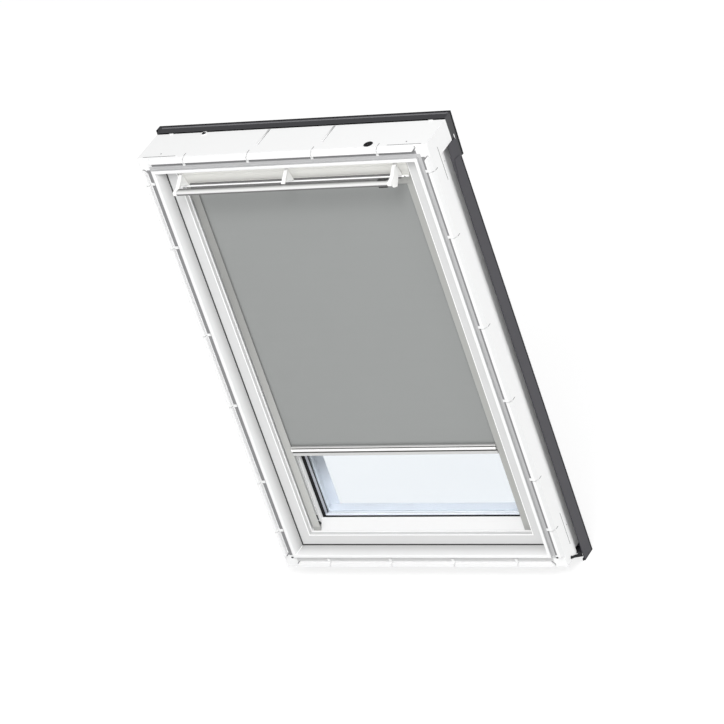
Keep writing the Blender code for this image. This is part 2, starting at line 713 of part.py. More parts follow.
def end_clip(side):
    """Round-headed clip under the sill, beside the foot of the side cladding."""
    x = side * (HALF_W - CLIP_ROD_INSET)
    z = -HALF_H - MESH_GAP - CLIP_HEAD_RADIUS
    front = CLIP_ROD_END - CLIP_ROD_LENGTH
    label = side_name(side)
    rod = cylinder(f"end_clip_{label}", CLIP_ROD_RADIUS, (x, front, z), (x, CLIP_ROD_END, z),
                   BLACK_RUBBER, 12)
    head = cylinder(f"clip_head_{label}", CLIP_HEAD_RADIUS, (x, front - CLIP_HEAD_LENGTH / 2, z),
                    (x, front + CLIP_HEAD_LENGTH / 2, z), segments=16)
    foot = cylinder(f"clip_foot_{label}", CLIP_HEAD_RADIUS,
                    (x, CLIP_ROD_END - CLIP_HEAD_LENGTH, z), (x, CLIP_ROD_END + MESH_GAP, z),
                    segments=16)
    boolean(rod, head, "UNION")
    boolean(rod, foot, "UNION")


def sill_cover():
    """Folded metal cover on the outside of the sill, with a lower flange and a rolled edge."""
    start = FRAME_DEPTH + SILL_COVER_CLEARANCE
    top = SILL_COVER_OVERLAP - HALF_H
    low = -HALF_H - SILL_COVER_DROP
    flange = FRAME_DEPTH - SILL_COVER_FLANGE
    lip = SILL_COVER_LIP
    section = [(top, start, 0), (top, start + SHEET, 0), (low, start + SHEET, SOFT_EDGE),
               (low, flange, 0), (low + lip, flange, FINE_EDGE), (low + lip, flange + lip, FINE_EDGE),
               (low + SHEET, flange + lip, 0), (low + SHEET, start, 0)]
    half = HALF_W - HOOD_SIDE_CLEARANCE
    bar_x("sill_cover", rounded(section), -half, half, DARK_METAL)


def pivots(side):
    """Steel pivot plate with its pin on the frame, and the socket that turns on it."""
    gap = MESH_GAP
    label = side_name(side)
    face = OPENING_HALF_W + gap
    plate = box(f"pivot_plate_{label}",
                (side * face, PIVOT_DEPTH - PIVOT_PLATE_WIDTH / 2, -PIVOT_PLATE_LENGTH / 2),
                (side * (face + PIVOT_PLATE_THICKNESS), PIVOT_DEPTH + PIVOT_PLATE_WIDTH / 2,
                 PIVOT_PLATE_LENGTH / 2), STEEL)
    pin = cylinder(f"pivot_pin_{label}", PIVOT_PIN_RADIUS,
                   (side * (face + PIVOT_PLATE_THICKNESS / 2), PIVOT_DEPTH, 0),
                   (side * (SASH_HALF_W - PIVOT_PIN_REACH), PIVOT_DEPTH, 0))
    boolean(plate, pin, "UNION")
    outer = SASH_HALF_W - gap
    socket = box(f"pivot_socket_{label}",
                 (side * (outer - SOCKET_THICKNESS), PIVOT_DEPTH - SOCKET_WIDTH / 2,
                  -SOCKET_LENGTH / 2),
                 (side * outer, PIVOT_DEPTH + SOCKET_WIDTH / 2, SOCKET_LENGTH / 2), STEEL)
    bore = cylinder(f"pivot_bore_{label}", PIVOT_PIN_RADIUS + PIVOT_RUNNING_GAP,
                    (side * (outer + OVERRUN), PIVOT_DEPTH, 0),
                    (side * (SASH_HALF_W - PIVOT_PIN_REACH - PIVOT_RUNNING_GAP), PIVOT_DEPTH, 0))
    boolean(socket, bore)


def socket_pocket(side):
    """Cutter for the pivot socket's pocket in a stile."""
    gap = MESH_GAP
    return box(f"socket_pocket_{side_name(side)}",
               (side * (SASH_HALF_W - SOCKET_THICKNESS - 2 * gap),
                PIVOT_DEPTH - SOCKET_WIDTH / 2 - gap, -SOCKET_LENGTH / 2 - gap),
               (side * (SASH_HALF_W + OVERRUN), PIVOT_DEPTH + SOCKET_WIDTH / 2 + gap,
                SOCKET_LENGTH / 2 + gap))


def sash_stiles():
    """Left and right stiles of the sash, mitred below and square above."""
    inner = SASH_HALF_W - STILE_FACE
    section = ((SASH_HALF_W, SASH_FRONT, EDGE_ROUND), (inner, SASH_FRONT, EDGE_ROUND),
               (STEP_HALF_W, STEP_BACK, 0), (STEP_HALF_W, SHOULDER_PLANE, 0),
               (GLAZED_HALF_W, SHOULDER_PLANE, SOFT_EDGE), (GLAZED_HALF_W, FLANGE_BACK, FINE_EDGE),
               (REBATE_HALF_W, FLANGE_BACK, 0), (REBATE_HALF_W, SASH_BACK, 0),
               (SASH_HALF_W, SASH_BACK, 0))
    for side in (-1, 1):
        outline = rounded([(side * a, b, r) for a, b, r in section])
        label = side_name(side)
        stile = bar_z(f"sash_stile_{label}", outline, -SASH_HALF_H, SASH_HALF_H, WHITE)
        cut_plane(stile, (0, 0, SASH_HALF_W - SASH_HALF_H + MESH_GAP / 2), (-side, 0, -1))
        boolean(stile, socket_pocket(side))
        boolean(stile, box(f"rail_end_{label}",
                           (side * (GLAZED_HALF_W - OVERRUN), SHOULDER_PLANE, GLAZED_HIGH - MESH_GAP),
                           (side * REBATE_HALF_W, SASH_BACK + OVERRUN, SASH_HALF_H + OVERRUN)))
        boolean(stile, box(f"cap_pocket_{label}",
                           (side * (GLAZED_HALF_W - OVERRUN), SHOULDER_PLANE - OVERRUN,
                            CASSETTE_LOW - 2 * MESH_GAP),
                           (side * STEP_HALF_W, FLANGE_BACK, GLAZED_HIGH)))


def sash_rails():
    """Bottom rail with its sloping sill, and the recessed top rail behind the flap."""
    low = -SASH_HALF_H
    inner = low + STILE_FACE
    rebate = GLAZED_LOW - PANE_COVER
    section = ((low, SASH_FRONT, EDGE_ROUND), (inner, SASH_FRONT, EDGE_ROUND),
               (inner + STEP_DRAFT, STEP_BACK, FINE_EDGE / 2),
               (GLAZED_LOW, FLANGE_BACK - FLANGE_LIP, FINE_EDGE), (GLAZED_LOW, FLANGE_BACK, 0),
               (rebate, FLANGE_BACK, 0), (rebate, SASH_BACK, 0), (low, SASH_BACK, 0))
    rail = bar_x("sash_bottom_rail", rounded(section), -SASH_HALF_W, SASH_HALF_W, WHITE)
    for side in (-1, 1):
        cut_plane(rail, (0, 0, SASH_HALF_W - SASH_HALF_H - MESH_GAP / 2), (side, 0, 1))
    end = STEP_HALF_W - MESH_GAP
    narrow = REBATE_HALF_W - MESH_GAP
    section = ((SASH_HALF_H, TOP_RAIL_FRONT, SOFT_EDGE), (GLAZED_HIGH, TOP_RAIL_FRONT, SOFT_EDGE),
               (GLAZED_HIGH, FLANGE_BACK, 0), (GLAZED_HIGH + PANE_COVER, FLANGE_BACK, 0),
               (GLAZED_HIGH + PANE_COVER, SASH_BACK, 0), (SASH_HALF_H, SASH_BACK, 0))
    rail = bar_x("sash_top_rail", rounded(section), -end, end, WHITE)
    for side in (-1, 1):
        boolean(rail, box(f"top_rail_end_{side_name(side)}",
                          (side * narrow, SHOULDER_PLANE - MESH_GAP, GLAZED_HIGH - OVERRUN),
                          (side * (end + OVERRUN), SASH_BACK + OVERRUN, SASH_HALF_H + OVERRUN)))
    gap = MESH_GAP
    boolean(rail, box("lock_pocket",
                      (-LOCK_WIDTH / 2 - gap, LOCK_START - gap, SASH_HALF_H - LOCK_HEIGHT - 2 * gap),
                      (LOCK_WIDTH / 2 + gap, LOCK_START + LOCK_DEPTH + gap, SASH_HALF_H + OVERRUN)))


def lock():
    """Lock case in the top rail, its sliding tongue and the striker plate in the head."""
    top = SASH_HALF_H - MESH_GAP
    case = box("lock_case", (-LOCK_WIDTH / 2, LOCK_START, top - LOCK_HEIGHT),
               (LOCK_WIDTH / 2, LOCK_START + LOCK_DEPTH, top), STEEL)
    tip = SASH_HALF_H + TONGUE_STAND
    half_x = TONGUE_WIDTH / 2
    half_y = TONGUE_THICKNESS / 2
    box("lock_tongue", (-half_x, LOCK_MIDDLE - half_y, tip - TONGUE_LENGTH),
        (half_x, LOCK_MIDDLE + half_y, tip), STEEL)
    slide = SLIDING_GAP
    boolean(case, box("tongue_way",
                      (-half_x - slide, LOCK_MIDDLE - half_y - slide,
                       tip - TONGUE_LENGTH - TONGUE_TRAVEL - slide),
                      (half_x + slide, LOCK_MIDDLE + half_y + slide, top + OVERRUN)))
    low = OPENING_HALF_H + MESH_GAP
    plate = box("striker_plate", (-STRIKER_LENGTH / 2, LOCK_MIDDLE - STRIKER_WIDTH / 2, low),
                (STRIKER_LENGTH / 2, LOCK_MIDDLE + STRIKER_WIDTH / 2, low + STRIKER_THICKNESS),
                STEEL)
    room = STRIKER_SLOT_CLEARANCE
    boolean(plate, box("striker_slot", (-half_x - room, LOCK_MIDDLE - half_y - room, low - room),
                       (half_x + room, LOCK_MIDDLE + half_y + room,
                        low + STRIKER_THICKNESS + room)))


def glazing():
    """Two panes, the spacer between them and the gasket on the room side."""
    for name, front in (("inner_pane", PANE_FRONT),
                        ("outer_pane", PANE_FRONT + PANE_THICKNESS + PANE_CAVITY)):
        box(name, (-PANE_HALF_W, front, PANE_LOW), (PANE_HALF_W, front + PANE_THICKNESS, PANE_HIGH),
            GLASS)
    edge = (PANE_HALF_W, PANE_LOW, PANE_HIGH)
    inner = (PANE_HALF_W - SPACER_WIDTH, PANE_LOW + SPACER_WIDTH, PANE_HIGH - SPACER_WIDTH)
    ring("pane_spacer", edge, inner, PANE_FRONT + PANE_THICKNESS + MESH_GAP,
         PANE_FRONT + PANE_THICKNESS + PANE_CAVITY - MESH_GAP, GREY_METAL)
    ring("glazing_gasket", edge, (GLAZED_HALF_W, GLAZED_LOW, GLAZED_HIGH), FLANGE_BACK + MESH_GAP,
         PANE_FRONT - MESH_GAP, BLACK_RUBBER)


def perimeter_seal():
    """Rubber seal around the sash, in the gap to the frame."""
    inner = (SASH_HALF_W + MESH_GAP, -SASH_HALF_H - MESH_GAP, SASH_HALF_H + MESH_GAP)
    outer = (inner[0] + SEAL_HEIGHT, inner[1] - SEAL_HEIGHT, inner[2] + SEAL_HEIGHT)
    ring("perimeter_seal", outer, inner, SEAL_START, SEAL_START + SEAL_DEPTH, BLACK_RUBBER)


def exterior_glazing():
    """White outer glazing beads and the dark metal covers folded over them."""
    gap = MESH_GAP
    back = BEAD_BACK + gap
    edge = GLAZED_HALF_W + COVER_SETBACK
    leg = BEAD_HALF_W + gap
    leg_start = SASH_BACK + COVER_LEG_START
    bead = ((GLAZED_HALF_W, BEAD_FRONT, 0), (GLAZED_HALF_W, BEAD_BACK, SOFT_EDGE),
            (BEAD_HALF_W, BEAD_BACK, 0), (BEAD_HALF_W, BEAD_FRONT, 0))
    cover = ((edge, back, 0), (edge, back + SHEET, 0), (leg + SHEET, back + SHEET, SOFT_EDGE),
             (leg + SHEET, leg_start, 0), (leg, leg_start, 0), (leg, back, 0))
    for side in (-1, 1):
        label = side_name(side)
        bar_z(f"bead_{label}", rounded([(side * a, b, r) for a, b, r in bead]), -BEAD_HALF_H,
              BEAD_HALF_H, WHITE)
        bar_z(f"cover_{label}", rounded([(side * a, b, r) for a, b, r in cover]), -BEAD_HALF_H,
              BEAD_HALF_H, DARK_METAL)
    half = GLAZED_HALF_W - gap
    for end, name, low in ((-1, "bottom", GLAZED_LOW), (1, "top", GLAZED_HIGH)):
        outline = [(low, BEAD_FRONT), (end * BEAD_HALF_H, BEAD_FRONT),
                   (end * BEAD_HALF_H, BEAD_BACK), (low, BEAD_BACK)]
        bar_x(f"bead_{name}", outline, -half, half, WHITE)
        leg = BEAD_HALF_H + gap
        edge = low + end * COVER_SETBACK
        section = [(edge, back, 0), (edge, back + SHEET, 0),
                   (end * (leg + SHEET), back + SHEET, SOFT_EDGE), (end * (leg + SHEET), leg_start, 0),
                   (end * leg, leg_start, 0), (end * leg, back, 0)]
        bar_x(f"cover_{name}", rounded(section), -half, half, DARK_METAL)


def flap_outline():
    """Section of the ventilation flap: a hollow-faced panel that rises from a rounded edge."""
    axis_z, axis_y = FLAP_AXIS_HEIGHT, FLAP_AXIS_DEPTH
    r = FLAP_EDGE_RADIUS
    top = axis_z + FLAP_RISE
    front = axis_y - r
    hollow = axis_y + FLAP_HOLLOW - r
    return rounded([(axis_z - r, front, r * 0.9), (axis_z + r * 0.4, front, r * 0.5),
                    (axis_z + r * 1.6, hollow, FOLD_RADIUS), (top - FLAP_LIP, hollow, 0.004),
                    (top, front, FINE_EDGE), (top, front + FLAP_THICKNESS, FINE_EDGE),
                    (top - FLAP_LIP, hollow + FLAP_THICKNESS, 0.003),
                    (axis_z + r * 1.6, hollow + FLAP_THICKNESS, FOLD_RADIUS),
                    (axis_z - r, axis_y + r, r * 0.9)])


def arm_outline():
    """Side view of an arm from the flap to the control bar, in Y and Z."""
    bar_y, bar_height = CONTROL_BAR_DEPTH, CONTROL_BAR_HEIGHT
    back = FLAP_AXIS_DEPTH - FLAP_EDGE_RADIUS - MESH_GAP
    half = CONTROL_BAR_SECTION_DEPTH / 2
    front = bar_y + half + MESH_GAP
    top = FLAP_AXIS_HEIGHT + ARM_TOP_HEIGHT
    return rounded([(front, bar_height + ARM_TIP, 0),
                    (FLAP_AXIS_DEPTH - ARM_TOP_REACH, top, ARM_SWEEP), (back, top, SOFT_EDGE),
                    (back, FLAP_AXIS_HEIGHT + ARM_FOOT_RISE, ARM_FOOT_RISE),
                    (front + ARM_BELLY_REACH, bar_height - ARM_BELLY_DROP, ARM_BELLY_RADIUS),
                    (front, bar_height - ARM_TIP, 0)], 5)


def control_bar():
    """The ventilation flap, its three arms and the bar that the hand pulls."""
    bar_x("vent_flap", flap_outline(), -FLAP_HALF_WIDTH, FLAP_HALF_WIDTH, IVORY)
    for index, name in ((-1, "left"), (0, "middle"), (1, "right")):
        mesh = extruded_mesh(f"control_arm_{name}", [[(-y, z) for y, z in arm_outline()]],
                             ARM_THICKNESS, Matrix(((0, 0, 1, 0), (-1, 0, 0, 0), (0, 1, 0, 0),
                                                    (0, 0, 0, 1))))
        place(f"control_arm_{name}", mesh, IVORY, Matrix.Translation((index * ARM_SPACING, 0, 0)))
    half_y = CONTROL_BAR_SECTION_DEPTH / 2
    half_z = CONTROL_BAR_SECTION_HEIGHT / 2
    y, z = CONTROL_BAR_DEPTH, CONTROL_BAR_HEIGHT
    outline = rounded([(z - half_z, y - half_y, half_z), (z + half_z, y - half_y, half_z),
                       (z + half_z, y + half_y, BAR_BACK_ROUND),
                       (z - half_z, y + half_y, BAR_BACK_ROUND)], 5)
    bar_x("control_bar", outline, -CONTROL_BAR_HALF_LENGTH, CONTROL_BAR_HALF_LENGTH, WHITE)
    gap = MESH_GAP
    wall = CLIP_WALL
    inner_y, inner_z = half_y + gap, half_z + gap
    section = [(z - inner_z, y, 0), (z - inner_z - wall, y, 0),
               (z - inner_z - wall, y + inner_y + wall, SOFT_EDGE),
               (z + inner_z + wall, y + inner_y + wall, SOFT_EDGE), (z + inner_z + wall, y, 0),
               (z + inner_z, y, 0), (z + inner_z, y + inner_y, 0), (z - inner_z, y + inner_y, 0)]
    middle = CONTROL_BAR_HALF_LENGTH - CLIP_INSET
    bar_x("bar_clip", rounded(section), middle - CLIP_LENGTH / 2, middle + CLIP_LENGTH / 2,
          BLACK_RUBBER)
    back = TOP_RAIL_FRONT - MESH_GAP
    half = FLAP_HALF_WIDTH - FILTER_END_INSET
    low = FLAP_AXIS_HEIGHT + FILTER_RISE
    box("vent_filter", (-half, back - FILTER_THICKNESS, low),
        (half, back, low + FILTER_HEIGHT), CLOTH_GREY)


def side_channels():
    """Blind side channels, open towards the cloth, and the foot under each."""
    low = STILE_FACE + STEP_DRAFT + MESH_GAP - SASH_HALF_H
    outer, inner = CHANNEL_OUTER, CHANNEL_INNER
    front, back = CHANNEL_FRONT, CHANNEL_FRONT + CHANNEL_DEPTH
    wall = CHANNEL_WALL
    slot_front = front + wall
    slot_back = slot_front + CHANNEL_SLOT
    section = ((outer, front, FINE_EDGE), (inner, front, FINE_EDGE), (inner, slot_front, FINE_EDGE / 2),
               (outer - wall, slot_front, 0), (outer - wall, slot_back, 0),
               (inner, slot_back, 0), (inner, back, 0), (outer, back, 0))
    for side in (-1, 1):
        label = side_name(side)
        outline = rounded([(side * a, b, r) for a, b, r in section], 2)
        channel = bar_z(f"channel_{label}", outline, low + FOOT_HEIGHT + MESH_GAP,
                        CASSETTE_LOW - CHANNEL_TOP_CLEARANCE, GREY_METAL)
        slope_cut(channel)
        foot = box(f"channel_foot_{label}", (side * inner, front, low),
                   (side * outer, back, low + FOOT_HEIGHT), GREY_METAL)
        slope_cut(foot)


def slope_cut(part):
    """Cut a piece back to the sloping face of the bottom rail."""
    start = Vector((0, STEP_BACK, STILE_FACE + STEP_DRAFT - SASH_HALF_H))
    end = Vector((0, FLANGE_BACK - FLANGE_LIP, GLAZED_LOW))
    run = (end - start).normalized()
    normal = Vector((0, run.z, -run.y))
    cut_plane(part, start - normal * MESH_GAP, normal)


def cassette():
    """Cassette of the blind with its two end caps, let into the stiles."""
    wall = CASSETTE_WALL
    front, back = CASSETTE_FRONT, CASSETTE_FRONT + CASSETTE_DEPTH
    low, top = CASSETTE_LOW, CASSETTE_TOP
    slot_end = front + wall + CASSETTE_SLOT
    section = ((low, front, FINE_EDGE), (top, front, FOLD_RADIUS), (top, back, FINE_EDGE),
               (low, back, FINE_EDGE),
               (low, slot_end, 0), (low + wall, slot_end, 0), (low + wall, back - wall, 0),
               (top - wall, back - wall, 0), (top - wall, front + wall, 0), (low, front + wall, 0))
    bar_x("blind_cassette", rounded(section, 2), -CASSETTE_HALF_LENGTH, CASSETTE_HALF_LENGTH,
          GREY_METAL)
    for side in (-1, 1):
        start = CASSETTE_HALF_LENGTH + MESH_GAP
        label = side_name(side)
        cap = box(f"cassette_cap_{label}", (side * start, front, low), (side * CAP_END, CAP_BACK, top),
                  GREY_METAL)
        boolean(cap, cylinder(f"journal_hole_{label}", JOURNAL_RADIUS + PIVOT_RUNNING_GAP,
                              (side * (start - OVERRUN), ROLL_DEPTH, ROLL_HEIGHT),
                              (side * (start + JOURNAL_LENGTH), ROLL_DEPTH, ROLL_HEIGHT),
                              segments=16))


def roller():
    """Roller tube with its wound cloth, end plugs on journals and the winding spring."""
    centre = (ROLL_DEPTH, ROLL_HEIGHT)
    for name, outer, inner, half, look in (
            ("roller_tube", TUBE_RADIUS, TUBE_RADIUS - TUBE_WALL, TUBE_HALF_LENGTH, GREY_METAL),
            ("cloth_roll", ROLL_RADIUS, TUBE_RADIUS + MESH_GAP, CLOTH_HALF_WIDTH, CLOTH_GREY)):
        tube = cylinder(name, outer, (-half, *centre), (half, *centre), look)
        boolean(tube, cylinder(f"{name}_bore", inner, (-half - OVERRUN, *centre),
                               (half + OVERRUN, *centre)))
    for side in (-1, 1):
        radius = TUBE_RADIUS - TUBE_WALL - MESH_GAP
        start = TUBE_HALF_LENGTH - PLUG_LENGTH
        label = side_name(side)
        plug = cylinder(f"roller_plug_{label}", radius, (side * start, *centre),
                        (side * CLOTH_HALF_WIDTH, *centre), BLACK_RUBBER)
        journal = cylinder(f"journal_{label}", JOURNAL_RADIUS, (side * start, *centre),
                           (side * (CASSETTE_HALF_LENGTH + JOURNAL_LENGTH - JOURNAL_PLAY),
                            *centre),
                           segments=16)
        boolean(plug, journal, "UNION")
    spring()


def spring():
    """The coil spring that winds the blind, inside the right half of the tube."""
    curve = bpy.data.curves.new("roller_spring", "CURVE")
    curve.dimensions = "3D"
    curve.bevel_depth = SPRING_WIRE
    curve.bevel_resolution = 1
    curve.use_fill_caps = True
    spline = curve.splines.new("POLY")
    count = SPRING_TURNS * SPRING_POINTS
    spline.points.add(count)
    end = TUBE_HALF_LENGTH - PLUG_LENGTH - 2 * SPRING_WIRE - MESH_GAP
    for index, point in enumerate(spline.points):
        angle = 2 * math.pi * index / SPRING_POINTS
        x = end - SPRING_LENGTH * (1 - index / count)
        point.co = (x, ROLL_DEPTH + SPRING_RADIUS * math.cos(angle),
                    ROLL_HEIGHT + SPRING_RADIUS * math.sin(angle), 1)
    place("roller_spring", curve_to_mesh("roller_spring", curve, ALONG_Z), STEEL)


def handle_bar():
    """Bottom bar of the blind with a rounded grip between two grooves, and its two gliders."""
    top, low = BAR_TOP, BAR_TOP - BAR_HEIGHT
    grip = top - GRIP_DROP
    reach = BAR_FRONT - GRIP_REACH
    section = [(top, BAR_FRONT, FINE_EDGE), (grip + GRIP_RADIUS + BAR_GROOVE, BAR_FRONT, 0),
               (grip + GRIP_RADIUS + BAR_GROOVE * 0.6, BAR_FRONT + BAR_GROOVE, 0),
               (grip + GRIP_RADIUS, BAR_FRONT + BAR_GROOVE, 0), (grip + GRIP_RADIUS, reach, GRIP_ROUND),
               (grip - GRIP_RADIUS, reach, GRIP_ROUND), (grip - GRIP_RADIUS, BAR_FRONT + BAR_GROOVE, 0),
               (grip - GRIP_RADIUS - BAR_GROOVE * 0.6, BAR_FRONT + BAR_GROOVE, 0),
               (grip - GRIP_RADIUS - BAR_GROOVE, BAR_FRONT, 0), (low, BAR_FRONT, SOFT_EDGE),
               (low, BAR_BACK, SOFT_EDGE), (top, BAR_BACK, FINE_EDGE)]
    bar_x("handle_bar", rounded(section), -BAR_HALF_LENGTH, BAR_HALF_LENGTH, GREY_METAL)
    middle = CHANNEL_FRONT + CHANNEL_WALL + CHANNEL_SLOT / 2
    for side in (-1, 1):
        start = BAR_HALF_LENGTH + MESH_GAP
        centre = (top + low) / 2
        box(f"bar_glider_{side_name(side)}",
            (side * start, middle - GLIDER_THICKNESS / 2, centre - GLIDER_LENGTH / 2),
            (side * (start + GLIDER_REACH), middle + GLIDER_THICKNESS / 2,
             centre + GLIDER_LENGTH / 2), BLACK_RUBBER)


def cloth():
    """The hanging stretch of the blackout cloth, from the roll down to the bottom bar."""
    box("blackout_cloth", (-CLOTH_HALF_WIDTH, CLOTH_PLANE - CLOTH_THICKNESS / 2, BAR_TOP + MESH_GAP),
        (CLOTH_HALF_WIDTH, CLOTH_PLANE + CLOTH_THICKNESS / 2, ROLL_HEIGHT - CLOTH_LEAD), CLOTH_GREY)


def named(*starts):
    """The pieces whose names start with one of the given words."""
    return [item for item in PARTS.objects if item.name.startswith(starts)]


def hang(name, place_of, pieces, carrier=None):
    """Parent pieces to an empty that stands on their joint's axis."""
    empty = bpy.data.objects.new(name, None)
    PARTS.objects.link(empty)
    empty.matrix_world = Matrix.Translation(place_of)
    if carrier is not None:
        empty.parent = carrier
        empty.matrix_parent_inverse = carrier.matrix_world.inverted()
    for piece in pieces:
        piece.parent = empty
        piece.matrix_parent_inverse = Matrix.Translation(place_of).inverted()
    bpy.context.view_layer.update()
    return empty


def hang_moving_pieces():
    """Carry every moving piece by an empty on its joint's axis, the sash's carrying the rest."""
    sash = hang("sash_axis", (0, PIVOT_DEPTH, 0),
                named("sash_", "pivot_socket", "lock_case", "inner_pane", "outer_pane",
                      "pane_spacer", "glazing_gasket", "perimeter_seal", "bead_", "cover_",
                      "vent_filter", "channel_", "blind_cassette", "cassette_cap",
                      "blackout_cloth"))
    hang("control_bar_axis", (0, FLAP_AXIS_DEPTH, FLAP_AXIS_HEIGHT),
         named("vent_flap", "control_", "bar_clip"), sash)
    hang("lock_tongue_slide", (0, LOCK_MIDDLE, SASH_HALF_H), named("lock_tongue"), sash)
    hang("roller_axis", (0, ROLL_DEPTH, ROLL_HEIGHT), named("roller_", "cloth_roll"), sash)
    hang("blind_bar_slide", (0, CLOTH_PLANE, BAR_TOP), named("handle_bar", "bar_glider"), sash)


def main():
    """Build every piece of the window and its blind."""
    frame_members()
    cable_entries()
    hood()
    for side in (-1, 1):
        cladding(side)
        end_clip(side)
        pivots(side)
    sill_cover()
    sash_stiles()
    sash_rails()
    lock()
    glazing()
    perimeter_seal()
    exterior_glazing()
    control_bar()
    side_channels()
    cassette()
    roller()
    handle_bar()
    cloth()
    hang_moving_pieces()


main()
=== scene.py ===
"""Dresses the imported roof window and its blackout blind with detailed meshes, finishes and light.

Units are metres.  +X is to the right seen from the room, +Z runs up the slope of the window and
+Y points out of the building.  The origin is the centre of the frame, in the plane of its lip.
"""

import json
import logging
import math
from collections.abc import Callable, Iterable, Sequence
from dataclasses import dataclass
from enum import Enum
from typing import ClassVar

import bmesh
import bpy
from mathutils import Matrix, Vector

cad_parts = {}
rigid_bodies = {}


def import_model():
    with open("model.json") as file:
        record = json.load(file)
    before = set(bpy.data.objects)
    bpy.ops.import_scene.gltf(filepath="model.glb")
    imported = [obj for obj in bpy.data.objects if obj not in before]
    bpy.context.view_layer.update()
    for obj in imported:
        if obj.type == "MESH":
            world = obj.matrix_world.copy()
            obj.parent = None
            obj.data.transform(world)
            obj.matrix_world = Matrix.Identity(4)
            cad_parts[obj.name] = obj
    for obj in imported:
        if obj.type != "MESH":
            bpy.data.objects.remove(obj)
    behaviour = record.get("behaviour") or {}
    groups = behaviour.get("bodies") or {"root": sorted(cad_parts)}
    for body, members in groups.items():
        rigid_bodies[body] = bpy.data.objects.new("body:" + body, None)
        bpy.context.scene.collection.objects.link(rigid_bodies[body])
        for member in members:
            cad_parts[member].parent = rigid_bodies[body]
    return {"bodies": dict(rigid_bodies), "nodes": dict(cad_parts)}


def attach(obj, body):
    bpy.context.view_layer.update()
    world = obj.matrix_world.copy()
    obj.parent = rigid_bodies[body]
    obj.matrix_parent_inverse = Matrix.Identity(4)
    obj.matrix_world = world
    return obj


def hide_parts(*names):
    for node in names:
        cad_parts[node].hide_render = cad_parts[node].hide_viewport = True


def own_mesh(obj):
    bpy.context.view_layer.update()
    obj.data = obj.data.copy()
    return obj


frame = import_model()

LOG = logging.getLogger("roof_window")
Point = tuple[float, float]
Corner = tuple[float, float, float]
Place = tuple[float, float, float]
Colour = tuple[float, float, float]
Box = tuple[Place, Place]
Item = bpy.types.Object
Socket = bpy.types.NodeSocket
SIDES = ((-1, "left"), (1, "right"))
ENDS = (-1, 1)
CORNERS = tuple((side, end) for side, _ in SIDES for end in ENDS)
OUTWARDS = (0, 1, 0)
INWARDS = (0, -1, 0)
UPWARDS = (0, 0, 1)
TOUCH = 0.0003
SILL_FRONT = (0.0445, -0.5075)
SILL_BACK = (0.0665, -0.485)
AXIS_HOLE = 0.00002
WELD_DISTANCE = 0.000002
SHADING_WEIGHT = 60


class Body(Enum):
    """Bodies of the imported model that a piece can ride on."""

    FRAME = "frame"
    SASH = "sash"
    CONTROL_BAR = "control_bar"
    BLIND_BAR = "blind_bar"
    ROLLER = "roller"


class Run(Enum):
    """Direction in which a flat section is extruded."""

    ALONG_X = "x"
    ALONG_Y = "y"
    ALONG_Z = "z"

    def point(self, a: float, b: float, s: float) -> Place:
        """Place of a section point (a, b) at the distance s along the run.

        Args:
            a: First coordinate of the section point.
            b: Second coordinate of the section point.
            s: Distance along the run.

        Returns:
            The place.
        """
        if self is Run.ALONG_X:
            return (s, b, a)
        if self is Run.ALONG_Y:
            return (a, s, b)
        return (a, b, s)


class Surface(Enum):
    """Kinds of surface detail, each with its own shader node group."""

    MOULDED = "moulded"
    COATED = "coated"
    BRUSHED = "brushed"
    WOVEN = "woven"
    FLEECE = "fleece"


# Node groups: each builds colour, roughness and height from procedural textures


